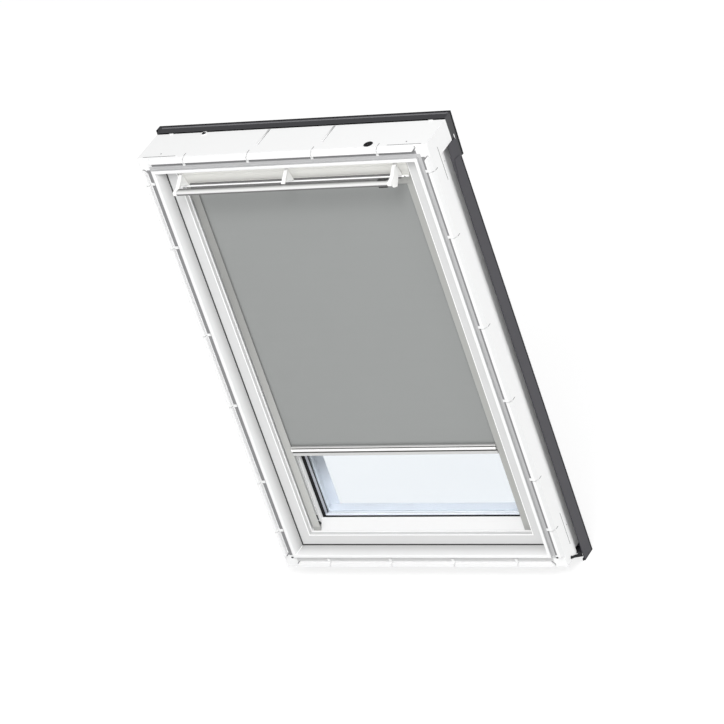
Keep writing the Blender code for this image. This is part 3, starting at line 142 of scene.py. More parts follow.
class Graph:
    """A shader node tree that is filled one node per call."""

    def __init__(self, tree: bpy.types.NodeTree) -> None:
        """Keep the tree that the nodes go into."""
        self.tree = tree

    def add(self, kind: str, settings: dict | None = None, **sockets: object) -> bpy.types.Node:
        """Add a node.

        Args:
            kind: Type name of the node.
            settings: Attributes of the node, such as its operation.
            sockets: Values or linked outputs of its inputs, as feed() takes them.

        Returns:
            The new node.
        """
        node = self.tree.nodes.new(kind)
        for key, value in (settings or {}).items():
            setattr(node, key, value)
        self.feed(node, **sockets)
        return node

    def feed(self, node: bpy.types.Node, **sockets: object) -> None:
        """Set or link inputs of a node.

        Args:
            node: The node.
            sockets: Input values or linked outputs; the key is the socket's name with
                underscores for spaces, or in0, in1 for an index.
        """
        for key, value in sockets.items():
            index = key[2:]
            socket = node.inputs[int(index) if index.isdigit() else key.replace("_", " ")]
            if isinstance(value, Socket):
                self.tree.links.new(value, socket)
            else:
                socket.default_value = value

    def math(self, operation: str, *values: object) -> Socket:
        """Result of a Math node with the given operation and inputs."""
        inputs = {f"in{i}": value for i, value in enumerate(values)}
        return self.add("ShaderNodeMath", {"operation": operation}, **inputs).outputs[0]

    def place(self, coordinates: str = "Object") -> Socket:
        """Coordinates of the shaded point."""
        return self.add("ShaderNodeTexCoord").outputs[coordinates]

    def noise(self, vector: object, scale: object, detail: float = 3.0,
              roughness: float = 0.55) -> Socket:
        """Value of a noise texture over the given vector."""
        return self.add("ShaderNodeTexNoise", Scale=scale, Detail=detail, Roughness=roughness,
                        Vector=vector).outputs["Fac"]

    def stretched(self, vector: object, scale: object) -> Socket:
        """A vector scaled along each axis."""
        return self.add("ShaderNodeMapping", in0=vector, Scale=scale).outputs[0]

    def mixed(self, first: object, weight: float, second: object, other_weight: float) -> Socket:
        """Sum of two values, each times its weight."""
        return self.math("MULTIPLY_ADD", first, weight,
                         self.math("MULTIPLY", second, other_weight))

    def spread(self, value: object, amount: object) -> Socket:
        """A 0 to 1 value turned into a factor about 1 that varies by the amount."""
        return self.math("MULTIPLY_ADD", self.math("SUBTRACT", value, 0.5), amount, 1.0)

    def tinted(self, colour: object, factor: object) -> Socket:
        """A colour scaled by a factor."""
        return self.add("ShaderNodeVectorMath", {"operation": "SCALE"}, in0=colour,
                        Scale=factor).outputs["Vector"]

    def seen_directly(self) -> Socket:
        """1 for rays that come from the camera or through the glass, 0 for all others."""
        path = self.add("ShaderNodeLightPath").outputs
        return self.math("MAXIMUM", path["Is Camera Ray"], path["Is Transmission Ray"])


Detail = tuple[Socket, Socket, Socket]
Given = dict[str, Socket]


class DetailGroups:
    """Shader node groups that several finishes share.

    The method of each surface gives the tone's factor, the wear that varies the roughness, and
    the height.
    """

    INPUTS = (("Colour", "NodeSocketColor"), ("Grain Scale", "NodeSocketFloat"),
              ("Tone Range", "NodeSocketFloat"), ("Roughness", "NodeSocketFloat"),
              ("Roughness Range", "NodeSocketFloat"), ("Stretch", "NodeSocketVector"))
    OUTPUTS = (("Colour", "NodeSocketColor"), ("Roughness", "NodeSocketFloat"),
               ("Height", "NodeSocketFloat"))

    def __init__(self) -> None:
        """Start with no groups made."""
        self.made: dict[Surface, bpy.types.NodeTree] = {}

    def get(self, surface: Surface) -> bpy.types.NodeTree:
        """The group of a kind of surface, made at its first use.

        Args:
            surface: The kind of surface.

        Returns:
            Its node group.
        """
        if surface in self.made:
            return self.made[surface]
        tree = bpy.data.node_groups.new(f"{surface.value}_detail", "ShaderNodeTree")
        for way, sockets in (("INPUT", self.INPUTS), ("OUTPUT", self.OUTPUTS)):
            for name, kind in sockets:
                tree.interface.new_socket(name, in_out=way, socket_type=kind)
        graph = Graph(tree)
        entry = graph.add("NodeGroupInput")
        given = {name: entry.outputs[name] for name, _ in self.INPUTS}
        builder = {Surface.MOULDED: self._moulded, Surface.COATED: self._coated,
                   Surface.BRUSHED: self._brushed, Surface.WOVEN: self._woven,
                   Surface.FLEECE: self._fleece}[surface]
        tone, wear, height = builder(graph, given, graph.place())
        rough = graph.math("MULTIPLY_ADD", graph.math("SUBTRACT", wear, 0.5),
                           given["Roughness Range"], given["Roughness"])
        graph.add("NodeGroupOutput", Colour=graph.tinted(given["Colour"], tone), Roughness=rough,
                  Height=height)
        self.made[surface] = tree
        return tree

    @staticmethod
    def _moulded(graph: Graph, given: Given, place: Socket) -> Detail:
        """Fine orange peel, slow tone changes and faint marks of handling.

        Args:
            graph: Graph of the node group.
            given: Outputs of the group's input node, by name.
            place: Coordinates of the shaded point.

        Returns:
            Factor of the tone, wear and height.
        """
        slow = graph.noise(place, 7.0)
        marks = graph.noise(place, 60.0, 5.0, 0.7)
        peel = graph.noise(place, given["Grain Scale"], 2.0, 0.5)
        pits = graph.noise(place, graph.math("MULTIPLY", given["Grain Scale"], 3.1), 2.0)
        tone = graph.spread(graph.mixed(marks, 0.4, slow, 0.6), given["Tone Range"])
        return tone, marks, graph.math("MULTIPLY_ADD", pits, 0.3, peel)

    @staticmethod
    def _coated(graph: Graph, given: Given, place: Socket) -> Detail:
        """Stoved coating on sheet metal: leathery grain, flake and faint rain marks.

        Args:
            graph: Graph of the node group.
            given: Outputs of the group's input node, by name.
            place: Coordinates of the shaded point.

        Returns:
            Factor of the tone, wear and height.
        """
        streaks = graph.noise(graph.stretched(place, given["Stretch"]), 16.0, 5.0, 0.65)
        slow = graph.noise(place, 5.0, 2.0)
        grain = graph.add("ShaderNodeTexVoronoi", {"feature": "SMOOTH_F1"}, Vector=place,
                          Scale=given["Grain Scale"], Smoothness=0.8).outputs["Distance"]
        flake = graph.noise(place, graph.math("MULTIPLY", given["Grain Scale"], 2.3), 1.0)
        tone = graph.math("MULTIPLY", graph.spread(graph.mixed(streaks, 0.55, slow, 0.45),
                                                   given["Tone Range"]), graph.spread(flake, 0.12))
        return tone, streaks, graph.math("MULTIPLY_ADD", flake, 0.25, grain)

    @staticmethod
    def _brushed(graph: Graph, given: Given, place: Socket) -> Detail:
        """Drawn metal with fine lines along its run, under an anodised layer.

        Args:
            graph: Graph of the node group.
            given: Outputs of the group's input node, by name.
            place: Coordinates of the shaded point.

        Returns:
            Factor of the tone, wear and height.
        """
        long = graph.stretched(place, given["Stretch"])
        lines = graph.noise(long, given["Grain Scale"], 4.0, 0.7)
        bands = graph.noise(long, 90.0, 2.0)
        slow = graph.noise(place, 8.0, 2.0)
        return (graph.spread(graph.mixed(bands, 0.6, slow, 0.4), given["Tone Range"]), lines,
                lines)

    @staticmethod
    def _woven(graph: Graph, given: Given, place: Socket) -> Detail:
        """Plain weave of fine threads, over and under, with slubs.

        Args:
            graph: Graph of the node group.
            given: Outputs of the group's input node, by name.
            place: Coordinates of the shaded point.

        Returns:
            Factor of the tone, wear and height.
        """
        part = graph.add("ShaderNodeSeparateXYZ", in0=place).outputs
        scale = graph.math("MULTIPLY", given["Grain Scale"], math.pi)
        warp, weft = (graph.math("SINE", graph.math("MULTIPLY", part[axis], scale))
                      for axis in ("X", "Z"))
        over = graph.math("GREATER_THAN", graph.math("MULTIPLY", warp, weft), 0.0)
        threads = graph.add("ShaderNodeMix", {"data_type": "FLOAT"}, Factor=over,
                            A=graph.math("ABSOLUTE", warp),
                            B=graph.math("ABSOLUTE", weft)).outputs["Result"]
        slubs = graph.noise(graph.stretched(place, given["Stretch"]), 70.0, 4.0, 0.7)
        slow = graph.noise(place, 4.0, 2.0)
        tone = graph.spread(graph.math("MULTIPLY_ADD", threads, 0.4,
                                       graph.mixed(slubs, 0.35, slow, 0.25)), given["Tone Range"])
        return tone, slubs, graph.math("MULTIPLY_ADD", slubs, 0.8, threads)

    @staticmethod
    def _fleece(graph: Graph, given: Given, place: Socket) -> Detail:
        """Felted fibres with open pores.

        Args:
            graph: Graph of the node group.
            given: Outputs of the group's input node, by name.
            place: Coordinates of the shaded point.

        Returns:
            Factor of the tone, wear and height.
        """
        fibres = graph.noise(place, given["Grain Scale"], 6.0, 0.75)
        pores = graph.add("ShaderNodeTexVoronoi", Vector=place, Scale=graph.math(
            "MULTIPLY", given["Grain Scale"], 0.6)).outputs["Distance"]
        tone = graph.spread(graph.math("MULTIPLY", fibres, pores), given["Tone Range"])
        return tone, fibres, fibres


GROUPS = DetailGroups()
MADE: dict[str, bpy.types.Material] = {}


def started(name: str) -> tuple[bpy.types.Material, Graph, bpy.types.Node]:
    """A new material, its graph and its shader, kept under the name of its finish.

    Args:
        name: Name of the finish.

    Returns:
        The material, its graph and its shader node.
    """
    material = MADE[name] = bpy.data.materials.new(name)
    material.use_nodes = True
    return material, Graph(material.node_tree), material.node_tree.nodes["Principled BSDF"]


@dataclass(frozen=True)
class Fade:
    """Darkening of a colour along one axis of the piece: painted shade."""

    axis: str
    start: float
    end: float
    factor: float

    def apply(self, graph: Graph, colour: Socket) -> Socket:
        """The colour, scaled from 1 at the start of the fade to its factor at the end.

        Args:
            graph: Graph of the material.
            colour: Colour before the fade.

        Returns:
            Colour after the fade.
        """
        part = graph.add("ShaderNodeSeparateXYZ", in0=graph.place()).outputs[self.axis]
        share = graph.add("ShaderNodeMapRange", {"interpolation_type": "SMOOTHSTEP"}, Value=part,
                          From_Min=self.start, From_Max=self.end, To_Min=1.0, To_Max=self.factor)
        return graph.tinted(colour, share.outputs["Result"])


@dataclass(frozen=True)
class Finish:
    """The look of one material, built on a shared detail group."""

    name: str
    slot: str
    colour: Colour
    surface: Surface = Surface.MOULDED
    roughness: float = 0.4
    roughness_range: float = 0.12
    tone_range: float = 0.03
    metallic: float = 0.0
    coat: float = 0.0
    coat_roughness: float = 0.12
    sheen: float = 0.0
    specular: float = 0.5
    grain_scale: float = 900.0
    grain_depth: float = 0.00008
    grain_strength: float = 0.25
    stretch: Place = (1.0, 1.0, 1.0)
    fade: Fade | None = None

    def material(self) -> bpy.types.Material:
        """The Blender material, made at its first use.

        Returns:
            The material.
        """
        if self.name in MADE:
            return MADE[self.name]
        material, graph, shader = started(self.name)
        detail = graph.add("ShaderNodeGroup", {"node_tree": GROUPS.get(self.surface)},
                           Colour=(*self.colour, 1.0), Grain_Scale=self.grain_scale,
                           Tone_Range=self.tone_range, Roughness=self.roughness,
                           Roughness_Range=self.roughness_range, Stretch=self.stretch).outputs
        bump = graph.add("ShaderNodeBump", Height=detail["Height"], Strength=self.grain_strength,
                         Distance=self.grain_depth).outputs["Normal"]
        colour = self.fade.apply(graph, detail["Colour"]) if self.fade else detail["Colour"]
        graph.feed(shader, Base_Color=colour, Roughness=detail["Roughness"], Normal=bump,
                   Metallic=self.metallic, Coat_Weight=self.coat,
                   Coat_Roughness=self.coat_roughness, Sheen_Weight=self.sheen,
                   Specular_IOR_Level=self.specular)
        return material


@dataclass(frozen=True)
class GlassFinish:
    """Clear glass that lets light through to what lies behind it."""

    name: str
    slot: str
    colour: Colour
    passed: Colour
    bending: float = 1.18

    def material(self) -> bpy.types.Material:
        """The Blender material, made at its first use.

        Returns:
            The material.
        """
        if self.name in MADE:
            return MADE[self.name]
        material, graph, shader = started(self.name)
        place = graph.place()
        haze = graph.noise(place, 5.0, 4.0, 0.6)
        wave = graph.add("ShaderNodeBump", Height=graph.noise(place, 3.0, 1.0), Strength=0.02,
                         Distance=0.0004)
        graph.feed(shader, Base_Color=graph.tinted(self.colour, graph.spread(haze, 0.012)),
                   Roughness=graph.math("MULTIPLY", haze, 0.01), Normal=wave.outputs["Normal"],
                   Metallic=0.0, Transmission_Weight=1.0, IOR=self.bending)
        shadow = graph.add("ShaderNodeLightPath").outputs["Is Shadow Ray"]
        clear = graph.add("ShaderNodeBsdfTransparent", Color=(*self.passed, 1.0))
        mix = graph.add("ShaderNodeMixShader", in0=shadow, in1=shader.outputs["BSDF"],
                        in2=clear.outputs["BSDF"])
        graph.feed(material.node_tree.nodes["Material Output"], Surface=mix.outputs["Shader"])
        return material


LONG_X = (0.03, 1.0, 1.0)
LONG_Z = (1.0, 1.0, 0.03)


def coated(name: str, colour: Colour, roughness: float, stretch: Place) -> Finish:
    """Stoved coating of the dark outer sheets."""
    return Finish(name, "dark_cover", colour, Surface.COATED, roughness=roughness, metallic=0.1,
                  tone_range=0.18, grain_scale=2200.0, grain_depth=0.00005, stretch=stretch)


def taupe(name: str, colour: Colour, stretch: Place, fade: Fade | None = None) -> Finish:
    """Anodised metal of the blind's profiles.

    Args:
        name: Name of the finish.
        colour: Its colour.
        stretch: Stretch of the drawn lines.
        fade: Painted shade: darkening along an axis, if any.

    Returns:
        The finish.
    """
    return Finish(name, "blind_profile", colour, Surface.BRUSHED, roughness=0.42, metallic=0.35,
                  tone_range=0.10, grain_scale=700.0, grain_depth=0.00003, stretch=stretch,
                  fade=fade)


FRAME_WHITE = Finish("frame_white", "white_frame", (0.775, 0.777, 0.777), roughness=0.42)
# Painted shade on the reveal: darker deeper into the recess towards the sash.
REVEAL_SHADE = Finish("reveal_shade", "white_frame", (0.74, 0.74, 0.74), roughness=0.42,
                      fade=Fade("Y", 0.001, 0.031, 0.64))
# Painted light: a lighter copy of the frame white for the top face.
TOP_PAINTED_LIGHT = Finish("top_painted_light", "white_frame", (0.83, 0.832, 0.832), roughness=0.42)
# Painted shade: darker copies of the frame white for the strips' rounded top and right-hand edges.
STRIP_TOP_SHADE = Finish("strip_top_shade", "white_frame", (0.73, 0.732, 0.732), roughness=0.42)
STRIP_SIDE_SHADE = Finish("strip_side_shade", "white_frame", (0.66, 0.662, 0.662), roughness=0.42)
# Painted light: a lighter copy of the frame white for the strips' inner walls that face the light.
STRIP_WALL_LIGHT = Finish("strip_wall_painted_light", "white_frame", (0.95, 0.95, 0.95), roughness=0.35)
# Painted shade in the lining groove: grey on its floor and lip wall, darkest along the strips,
# lighter along the sill.
SILL_GROOVE_SHADE = Finish("sill_groove_shade", "white_frame", (0.58, 0.58, 0.58), roughness=0.6)
GROOVE_SOFT_SHADE = Finish("groove_soft_shade", "white_frame", (0.47, 0.47, 0.475), roughness=0.6)
GROOVE_SHADE = Finish("groove_shade", "white_frame", (0.22, 0.22, 0.225), roughness=0.7)
# Painted shade: near-black for inlays that stand in for the shade of thin grooves and beside the
# ribs.
MARK_GREY = Finish("mark_grey", "white_frame", (0.12, 0.12, 0.12), roughness=0.6)
MARK_LIGHT = Finish("mark_light", "white_frame", (0.22, 0.22, 0.22), roughness=0.6)
SASH_WHITE = Finish("sash_white", "white_sash", (0.595, 0.597, 0.597), roughness=0.38)
# Painted light: a lighter copy of the sash white for the sloping sill and the glass flanges.
SILL_PAINTED_LIGHT = Finish("sill_painted_light", "white_sash", (0.73, 0.73, 0.73), roughness=0.38)
# Painted highlight: a bright white for edges that catch the light.
EDGE_HIGHLIGHT = Finish("edge_highlight", "white_sash", (0.90, 0.90, 0.90), roughness=0.3)
BEAD_WHITE = Finish("bead_white", "white_sash", (0.73, 0.74, 0.76), roughness=0.4)
# Painted highlight: a bright white for the ring at the outer pane's edge.
PANE_EDGE_HIGHLIGHT = Finish("pane_edge_highlight", "white_sash", (0.93, 0.95, 0.97), roughness=0.3)
GAP_BLACK = Finish("gap_black", "black_rubber", (0.06, 0.06, 0.06), roughness=0.7, specular=0.2)
# The seal in the gap to the sash, dark also as painted shade in that gap.
GAP_SEAL_AND_SHADE = Finish("gap_seal_and_shade", "white_frame", (0.13, 0.13, 0.13), roughness=0.7, specular=0.2)
ARM_WHITE = Finish("arm_white", "ivory_flap", (0.84, 0.84, 0.825), roughness=0.36)
BAR_SHADE = Finish("bar_shade", "white_bar", (0.60, 0.60, 0.59), roughness=0.4,
                   fade=Fade("Y", -0.0362, -0.0215, 0.10))
# Painted shade: near-black for the bar's underside and the gaps above and below the flap's rail.
DEEP_SHADE = Finish("deep_shade", "white_bar", (0.13, 0.13, 0.13), roughness=0.5)
# Painted highlight on the bottom bar's round grip and painted shade in the grooves beside it.
GRIP_HIGHLIGHT = Finish("grip_highlight", "blind_profile", (0.90, 0.90, 0.89), roughness=0.25, coat=0.3)
GRIP_GROOVE_SHADE = Finish("grip_groove_shade", "blind_profile", (0.10, 0.10, 0.095), roughness=0.5)
BAR_SILVER = Finish("bar_silver", "blind_profile", (0.56, 0.56, 0.555), Surface.BRUSHED,
                    roughness=0.34, metallic=0.35, tone_range=0.08, grain_scale=700.0,
                    grain_depth=0.00003, stretch=(0.03, 1.0, 1.0))
BAR_WHITE = Finish("bar_white", "white_bar", (0.64, 0.64, 0.635), roughness=0.3, coat=0.15,
                   grain_scale=1400.0, grain_strength=0.12)
# Painted shade: the ivory flap darker towards its lower edge.
FLAP_IVORY_SHADED = Finish("flap_ivory_shaded", "ivory_flap", (0.90, 0.898, 0.86), roughness=0.45,
                    fade=Fade("Z", 0.530, 0.503, 0.62))
COVER_DARK = coated("cover_dark", (0.039, 0.0378, 0.0455), 0.5, LONG_Z)
# Painted highlight: a lighter copy of the hood's coating for the bead on its top.
HOOD_HIGHLIGHT = coated("hood_highlight", (0.13, 0.13, 0.138), 0.35, LONG_X)
HOOD_DARK = coated("hood_dark", (0.030, 0.030, 0.034), 0.42, LONG_X)
EDGE_BLACK = Finish("edge_black", "black_rubber", (0.008, 0.008, 0.010), roughness=0.7,
                    specular=0.2, tone_range=0.2, grain_scale=1500.0)
RUBBER = Finish("rubber", "black_rubber", (0.013, 0.013, 0.014), roughness=0.65,
                specular=0.15, tone_range=0.25, grain_scale=1600.0, grain_strength=0.4)
PLASTIC_BLACK = Finish("plastic_black", "black_plastic", (0.018, 0.018, 0.018),
                       roughness=0.45, tone_range=0.2, grain_scale=1800.0)
TAUPE_ALONG_Z = taupe("taupe_along_z", (0.39, 0.392, 0.378), LONG_Z)
TAUPE_ALONG_X = taupe("taupe_along_x", (0.39, 0.392, 0.378), LONG_X)
# Painted light and shade: the left channel lighter, and darker towards its top.
TAUPE_LEFT_SHADED = taupe("taupe_left_shaded", (0.49, 0.492, 0.475), LONG_Z, Fade("Z", -0.45, 0.25, 0.62))
SPACER = Finish("spacer_drawn", "spacer_metal", (0.54, 0.535, 0.565), Surface.BRUSHED,
                roughness=0.4, metallic=0.5, tone_range=0.15, grain_scale=500.0, stretch=LONG_X)
BLACKOUT = Finish("blackout_weave", "blackout_fabric", (0.258, 0.266, 0.262), Surface.WOVEN,
                  roughness=0.88, tone_range=0.10, sheen=0.15, specular=0.2, grain_scale=1600.0,
                  grain_depth=0.00012, grain_strength=0.35, stretch=(0.05, 1.0, 1.0))
FLEECE = Finish("felted_fleece", "filter_fleece", (0.30, 0.31, 0.31), Surface.FLEECE,
                roughness=0.95, tone_range=0.9, specular=0.1, grain_scale=500.0,
                grain_depth=0.0006, grain_strength=0.8)
STEEL = Finish("drawn_steel", "hinge_steel", (0.55, 0.55, 0.54), Surface.BRUSHED,
               roughness=0.32, metallic=1.0, tone_range=0.2, grain_scale=600.0,
               grain_depth=0.00003, stretch=LONG_Z)
GLASS = GlassFinish("clear_pane", "pane_glass", (0.952, 0.972, 0.989),
                    passed=(0.96, 0.975, 1.0))


# Mesh tools


def rounded(corners: Sequence[Corner], steps: int = 4) -> list[Point]:
    """Outline of a polygon whose corners are rounded.

    Args:
        corners: Corner points as (a, b, radius).
        steps: Segments of each arc.

    Returns:
        The outline's points.
    """
    points: list[Point] = []
    for index, (a, b, radius) in enumerate(corners):
        corner = Vector((a, b))
        if radius <= 0:
            points.append((a, b))
            continue
        before = Vector(corners[index - 1][:2]) - corner
        after = Vector(corners[(index + 1) % len(corners)][:2]) - corner
        half_angle = before.angle(after) / 2
        reach = min(radius / math.tan(half_angle), 0.49 * before.length, 0.49 * after.length)
        start = corner + before.normalized() * reach
        end = corner + after.normalized() * reach
        for step in range(steps + 1):
            t = step / steps
            point = start.lerp(corner, t).lerp(corner.lerp(end, t), t)
            points.append((point.x, point.y))
    return points


def linked(name: str, data: bpy.types.ID) -> Item:
    """A new object in the scene with the given mesh, camera or light.

    Args:
        name: Name of the object.
        data: What it shows.

    Returns:
        The new object.
    """
    item = bpy.data.objects.new(name, data)
    bpy.context.scene.collection.objects.link(item)
    return item


def finished(name: str, shape: bmesh.types.BMesh, outwards: bool = True) -> Item:
    """Object from a bmesh, with its faces turned outwards if asked.

    Args:
        name: Name of the piece.
        shape: Its faces; freed afterwards.
        outwards: Whether to turn the faces outwards.

    Returns:
        The new object.
    """
    if outwards:
        bmesh.ops.recalc_face_normals(shape, faces=shape.faces)
    mesh = bpy.data.meshes.new(name)
    shape.to_mesh(mesh)
    shape.free()
    return linked(name, mesh)


def loft(name: str, loops: Sequence[Sequence[Place]], closed: bool = False) -> Item:
    """Skin between loops of equally many points.

    Args:
        name: Name of the piece.
        loops: Closed loops of points, in order.
        closed: Whether the last loop joins the first, instead of an end face on each.

    Returns:
        The new object.
    """
    shape = bmesh.new()
    rings = [[shape.verts.new(point) for point in loop] for loop in loops]
    count = len(rings[0])
    for first, second in zip(rings, rings[1:] + rings[:1] if closed else rings[1:]):
        for i in range(count):
            j = (i + 1) % count
            shape.faces.new((first[i], first[j], second[j], second[i]))
    if not closed:
        shape.faces.new(rings[0])
        shape.faces.new(list(reversed(rings[-1])))
    return finished(name, shape)


def bar(name: str, section: Sequence[Point], low: float, high: float, run: Run) -> Item:
    """A section extruded from low to high along its run."""
    return loft(name, [[run.point(a, b, s) for a, b in section] for s in (low, high)])


def plate(name: str, outline: Sequence[Point], near: float, far: float) -> Item:
    """An outline of (y, z) points extruded along x from near to far."""
    return loft(name, [[(x, y, z) for y, z in outline] for x in (near, far)])


def ring(name: str, section: Sequence[Point], half_width: float, half_height: float,
         open_top: bool = False) -> Item:
    """A section of (inset, depth) points swept round a rectangle with mitred corners.

    Args:
        name: Name of the piece.
        section: Points as (inset from the outer edge, depth).
        half_width: Half the rectangle's width.
        half_height: Half the rectangle's height.
        open_top: Whether the upper side is left out.

    Returns:
        The new object.
    """
    loops = []
    for x, z in ((-1, 1), (-1, -1), (1, -1), (1, 1)):
        rise = 0.0 if open_top and z > 0 else 1.0
        loops.append([(x * (half_width - u), y, z * (half_height - u * rise)) for u, y in section])
    return loft(name, loops, closed=not open_top)


def block(name: str, corner: Place, opposite: Place) -> Item:
    """A box between two opposite corners."""
    (x0, x1), (y0, y1), (z0, z1) = (sorted(pair) for pair in zip(corner, opposite))
    return bar(name, [(x0, y0), (x1, y0), (x1, y1), (x0, y1)], z0, z1, Run.ALONG_Z)


def mirrored(name: str, side: int, box: Box) -> Item:
    """A box on the given side of the window's middle."""
    return block(name, *((side * x, y, z) for x, y, z in box))


def lathe(name: str, profile: Sequence[Point], centre: Place, axis: Place,
          segments: int = 32) -> Item:
    """A turned piece.

    Args:
        name: Name of the piece.
        profile: Closed profile as (radius, height along the axis).
        centre: Origin of the heights.
        axis: Direction of the heights.
        segments: Steps round the axis.

    Returns:
        The new object.
    """
    turn = Vector(axis).to_track_quat("Z", "Y")
    loops = []
    for step in range(segments):
        angle = 2 * math.pi * step / segments
        spoke = Vector((math.cos(angle), math.sin(angle), 0.0))
        loops.append([tuple(Vector(centre) + turn @ (spoke * max(r, AXIS_HOLE) + Vector((0, 0, h))))
                      for r, h in profile])
    return loft(name, loops, closed=True)


def disc(name: str, radius: float, low: float, high: float, centre: Place, axis: Place,
         segments: int = 32) -> Item:
    """A round disc from low to high along its axis."""
    return lathe(name, [(0, low), (radius, low), (radius, high), (0, high)], centre, axis,
                 segments)


def merged(name: str, items: Iterable[Item]) -> Item:
    """One object with the meshes of several, which are removed.

    Args:
        name: Name of the piece.
        items: The objects that it takes up.

    Returns:
        The new object.
    """
    shape = bmesh.new()
    for item in items:
        shape.from_mesh(item.data)
        bpy.data.objects.remove(item)
    return finished(name, shape, outwards=False)


def combine(item: Item, other: Item, operation: str, overlapping: bool = False) -> None:
    """Apply a boolean operation to an object's mesh and remove the other object.

    Args:
        item: The object that is changed.
        other: The object that is taken up or cut out.
        operation: Blender's name of the operation.
        overlapping: Whether the other object crosses itself.
    """
    boolean = item.modifiers.new("boolean", "BOOLEAN")
    boolean.operation = operation
    boolean.solver = "EXACT"
    boolean.use_self = overlapping
    boolean.object = other
    bpy.context.view_layer.update()
    evaluated = item.evaluated_get(bpy.context.evaluated_depsgraph_get())
    mesh = bpy.data.meshes.new_from_object(evaluated)
    item.modifiers.clear()
    item.data = mesh
    bpy.data.objects.remove(other)


def carve(item: Item, cutters: Sequence[Item], overlapping: bool = False) -> None:
    """Cut several solids, which may meet one another if overlapping, out of an object."""
    combine(item, merged("cutter", cutters), "DIFFERENCE", overlapping)


def fused(name: str, items: Sequence[Item]) -> Item:
    """One closed solid from several that meet.

    Args:
        name: Name of the piece.
        items: The solids; the first takes up the others.

    Returns:
        The first of them.
    """
    body = items[0]
    body.name = name
    for item in items[1:]:
        combine(body, item, "UNION")
    return body


def slice_off(item: Item, point: Place, normal: Place) -> None:
    """Remove what lies beyond a plane on the side its normal points to, and close the cut.

    Args:
        item: The object that is cut.
        point: A point of the plane.
        normal: Direction of the side that is removed.
    """
    shape = bmesh.new()
    shape.from_mesh(item.data)
    whole = shape.verts[:] + shape.edges[:] + shape.faces[:]
    cut = bmesh.ops.bisect_plane(shape, geom=whole, plane_co=point, plane_no=normal,
                                 clear_outer=True)
    rim = [part for part in cut["geom_cut"] if isinstance(part, bmesh.types.BMEdge)]
    bmesh.ops.contextual_create(shape, geom=rim)
    bmesh.ops.recalc_face_normals(shape, faces=shape.faces)
    shape.to_mesh(item.data)
    shape.free()


def smooth(item: Item) -> Item:
    """Shade all faces of a piece as curved."""
    item.data.polygons.foreach_set("use_smooth", [True] * len(item.data.polygons))
    return item


def soften(item: Item, width: float, segments: int = 2, angle: float = 34.0) -> Item:
    """Round the edges sharper than the angle and even out the shading.

    Args:
        item: The piece.
        width: Width of the rounded edges.
        segments: Steps across each edge.
        angle: Least angle of an edge that is rounded, in degrees.

    Returns:
        The piece.
    """
    smooth(item).modifiers.new("weld", "WELD").merge_threshold = WELD_DISTANCE
    bevel = item.modifiers.new("edges", "BEVEL")
    bevel.width = width
    bevel.segments = segments
    bevel.limit_method = "ANGLE"
    bevel.angle_limit = math.radians(angle)
    shading = item.modifiers.new("shading", "WEIGHTED_NORMAL")
    shading.weight = SHADING_WEIGHT
    shading.keep_sharp = True
    return item


def wear(item: Item, look: Finish | GlassFinish) -> None:
    """Give a piece one finish in place of all others."""
    item.data.materials.clear()
    item.data.materials.append(look.material())


def settle(item: Item, look: Finish | GlassFinish, body: Body, nodes: Sequence[str] = ()) -> Item:
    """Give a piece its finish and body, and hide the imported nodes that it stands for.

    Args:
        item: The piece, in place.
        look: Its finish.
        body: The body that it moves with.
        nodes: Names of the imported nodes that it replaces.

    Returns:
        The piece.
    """
    wear(item, look)
    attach(item, body.value)
    if nodes:
        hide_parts(*nodes)
    LOG.info("%s: %s on %s", item.name, look.name, body.value)
    return item


def paint(item: Item, look: Finish, where: Callable[[Vector, Vector], bool]) -> None:
    """Give the faces whose centre and normal pass a test a finish of their own.

    Args:
        item: The piece.
        look: The finish of those faces.
        where: Test of a face's centre and normal.
    """
    item.data.materials.append(look.material())
    index = len(item.data.materials) - 1
    for face in item.data.polygons:
        if where(face.center, face.normal):
            face.material_index = index


def dress(look: Finish, *nodes: str, width: float = 0.0003) -> None:
    """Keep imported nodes, round their edges and give them a finish.

    Args:
        look: The finish.
        nodes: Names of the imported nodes.
        width: Width of the rounded edges, or 0 for none.
    """
    for node in nodes:
        item = frame["nodes"][node]
        if width:
            soften(item, width)
        wear(item, look)
        LOG.info("%s: %s kept", node, look.name)


def screw_head(name: str, place: Place, radius: float) -> Item:
    """A low round screw head with a cross recess, seen from outside.

    Args:
        name: Name of the piece.
        place: Centre of the seat.
        radius: Radius of the head.

    Returns:
        The new object.
    """
    rise = radius * 0.42
    profile = [(0, -0.0004), (radius, -0.0004), (radius, rise * 0.3), (radius * 0.8, rise * 0.8),
               (radius * 0.45, rise), (0, rise)]
    head = lathe(name, profile, place, OUTWARDS, 24)
    turn = Vector(OUTWARDS).to_track_quat("Z", "Y").to_matrix().to_4x4()
    cutters = []
    for long, wide in ((0.55, 0.11), (0.11, 0.55)):
        cutter = block("recess", (-radius * long, -radius * wide, rise * 0.45),
                       (radius * long, radius * wide, rise * 2))
        cutter.data.transform(Matrix.Translation(place) @ turn)
        cutters.append(cutter)
    carve(head, cutters, overlapping=True)
    return head


class Assembly:
    """A sub-assembly whose pieces move with one body."""

    body: ClassVar[Body]

    def put(self, item: Item, look: Finish | GlassFinish, edge: float = 0.0,
            *nodes: str) -> Item:
        """Round a piece's edges if asked and settle it on the body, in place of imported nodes."""
        return settle(soften(item, edge) if edge else item, look, self.body, nodes)


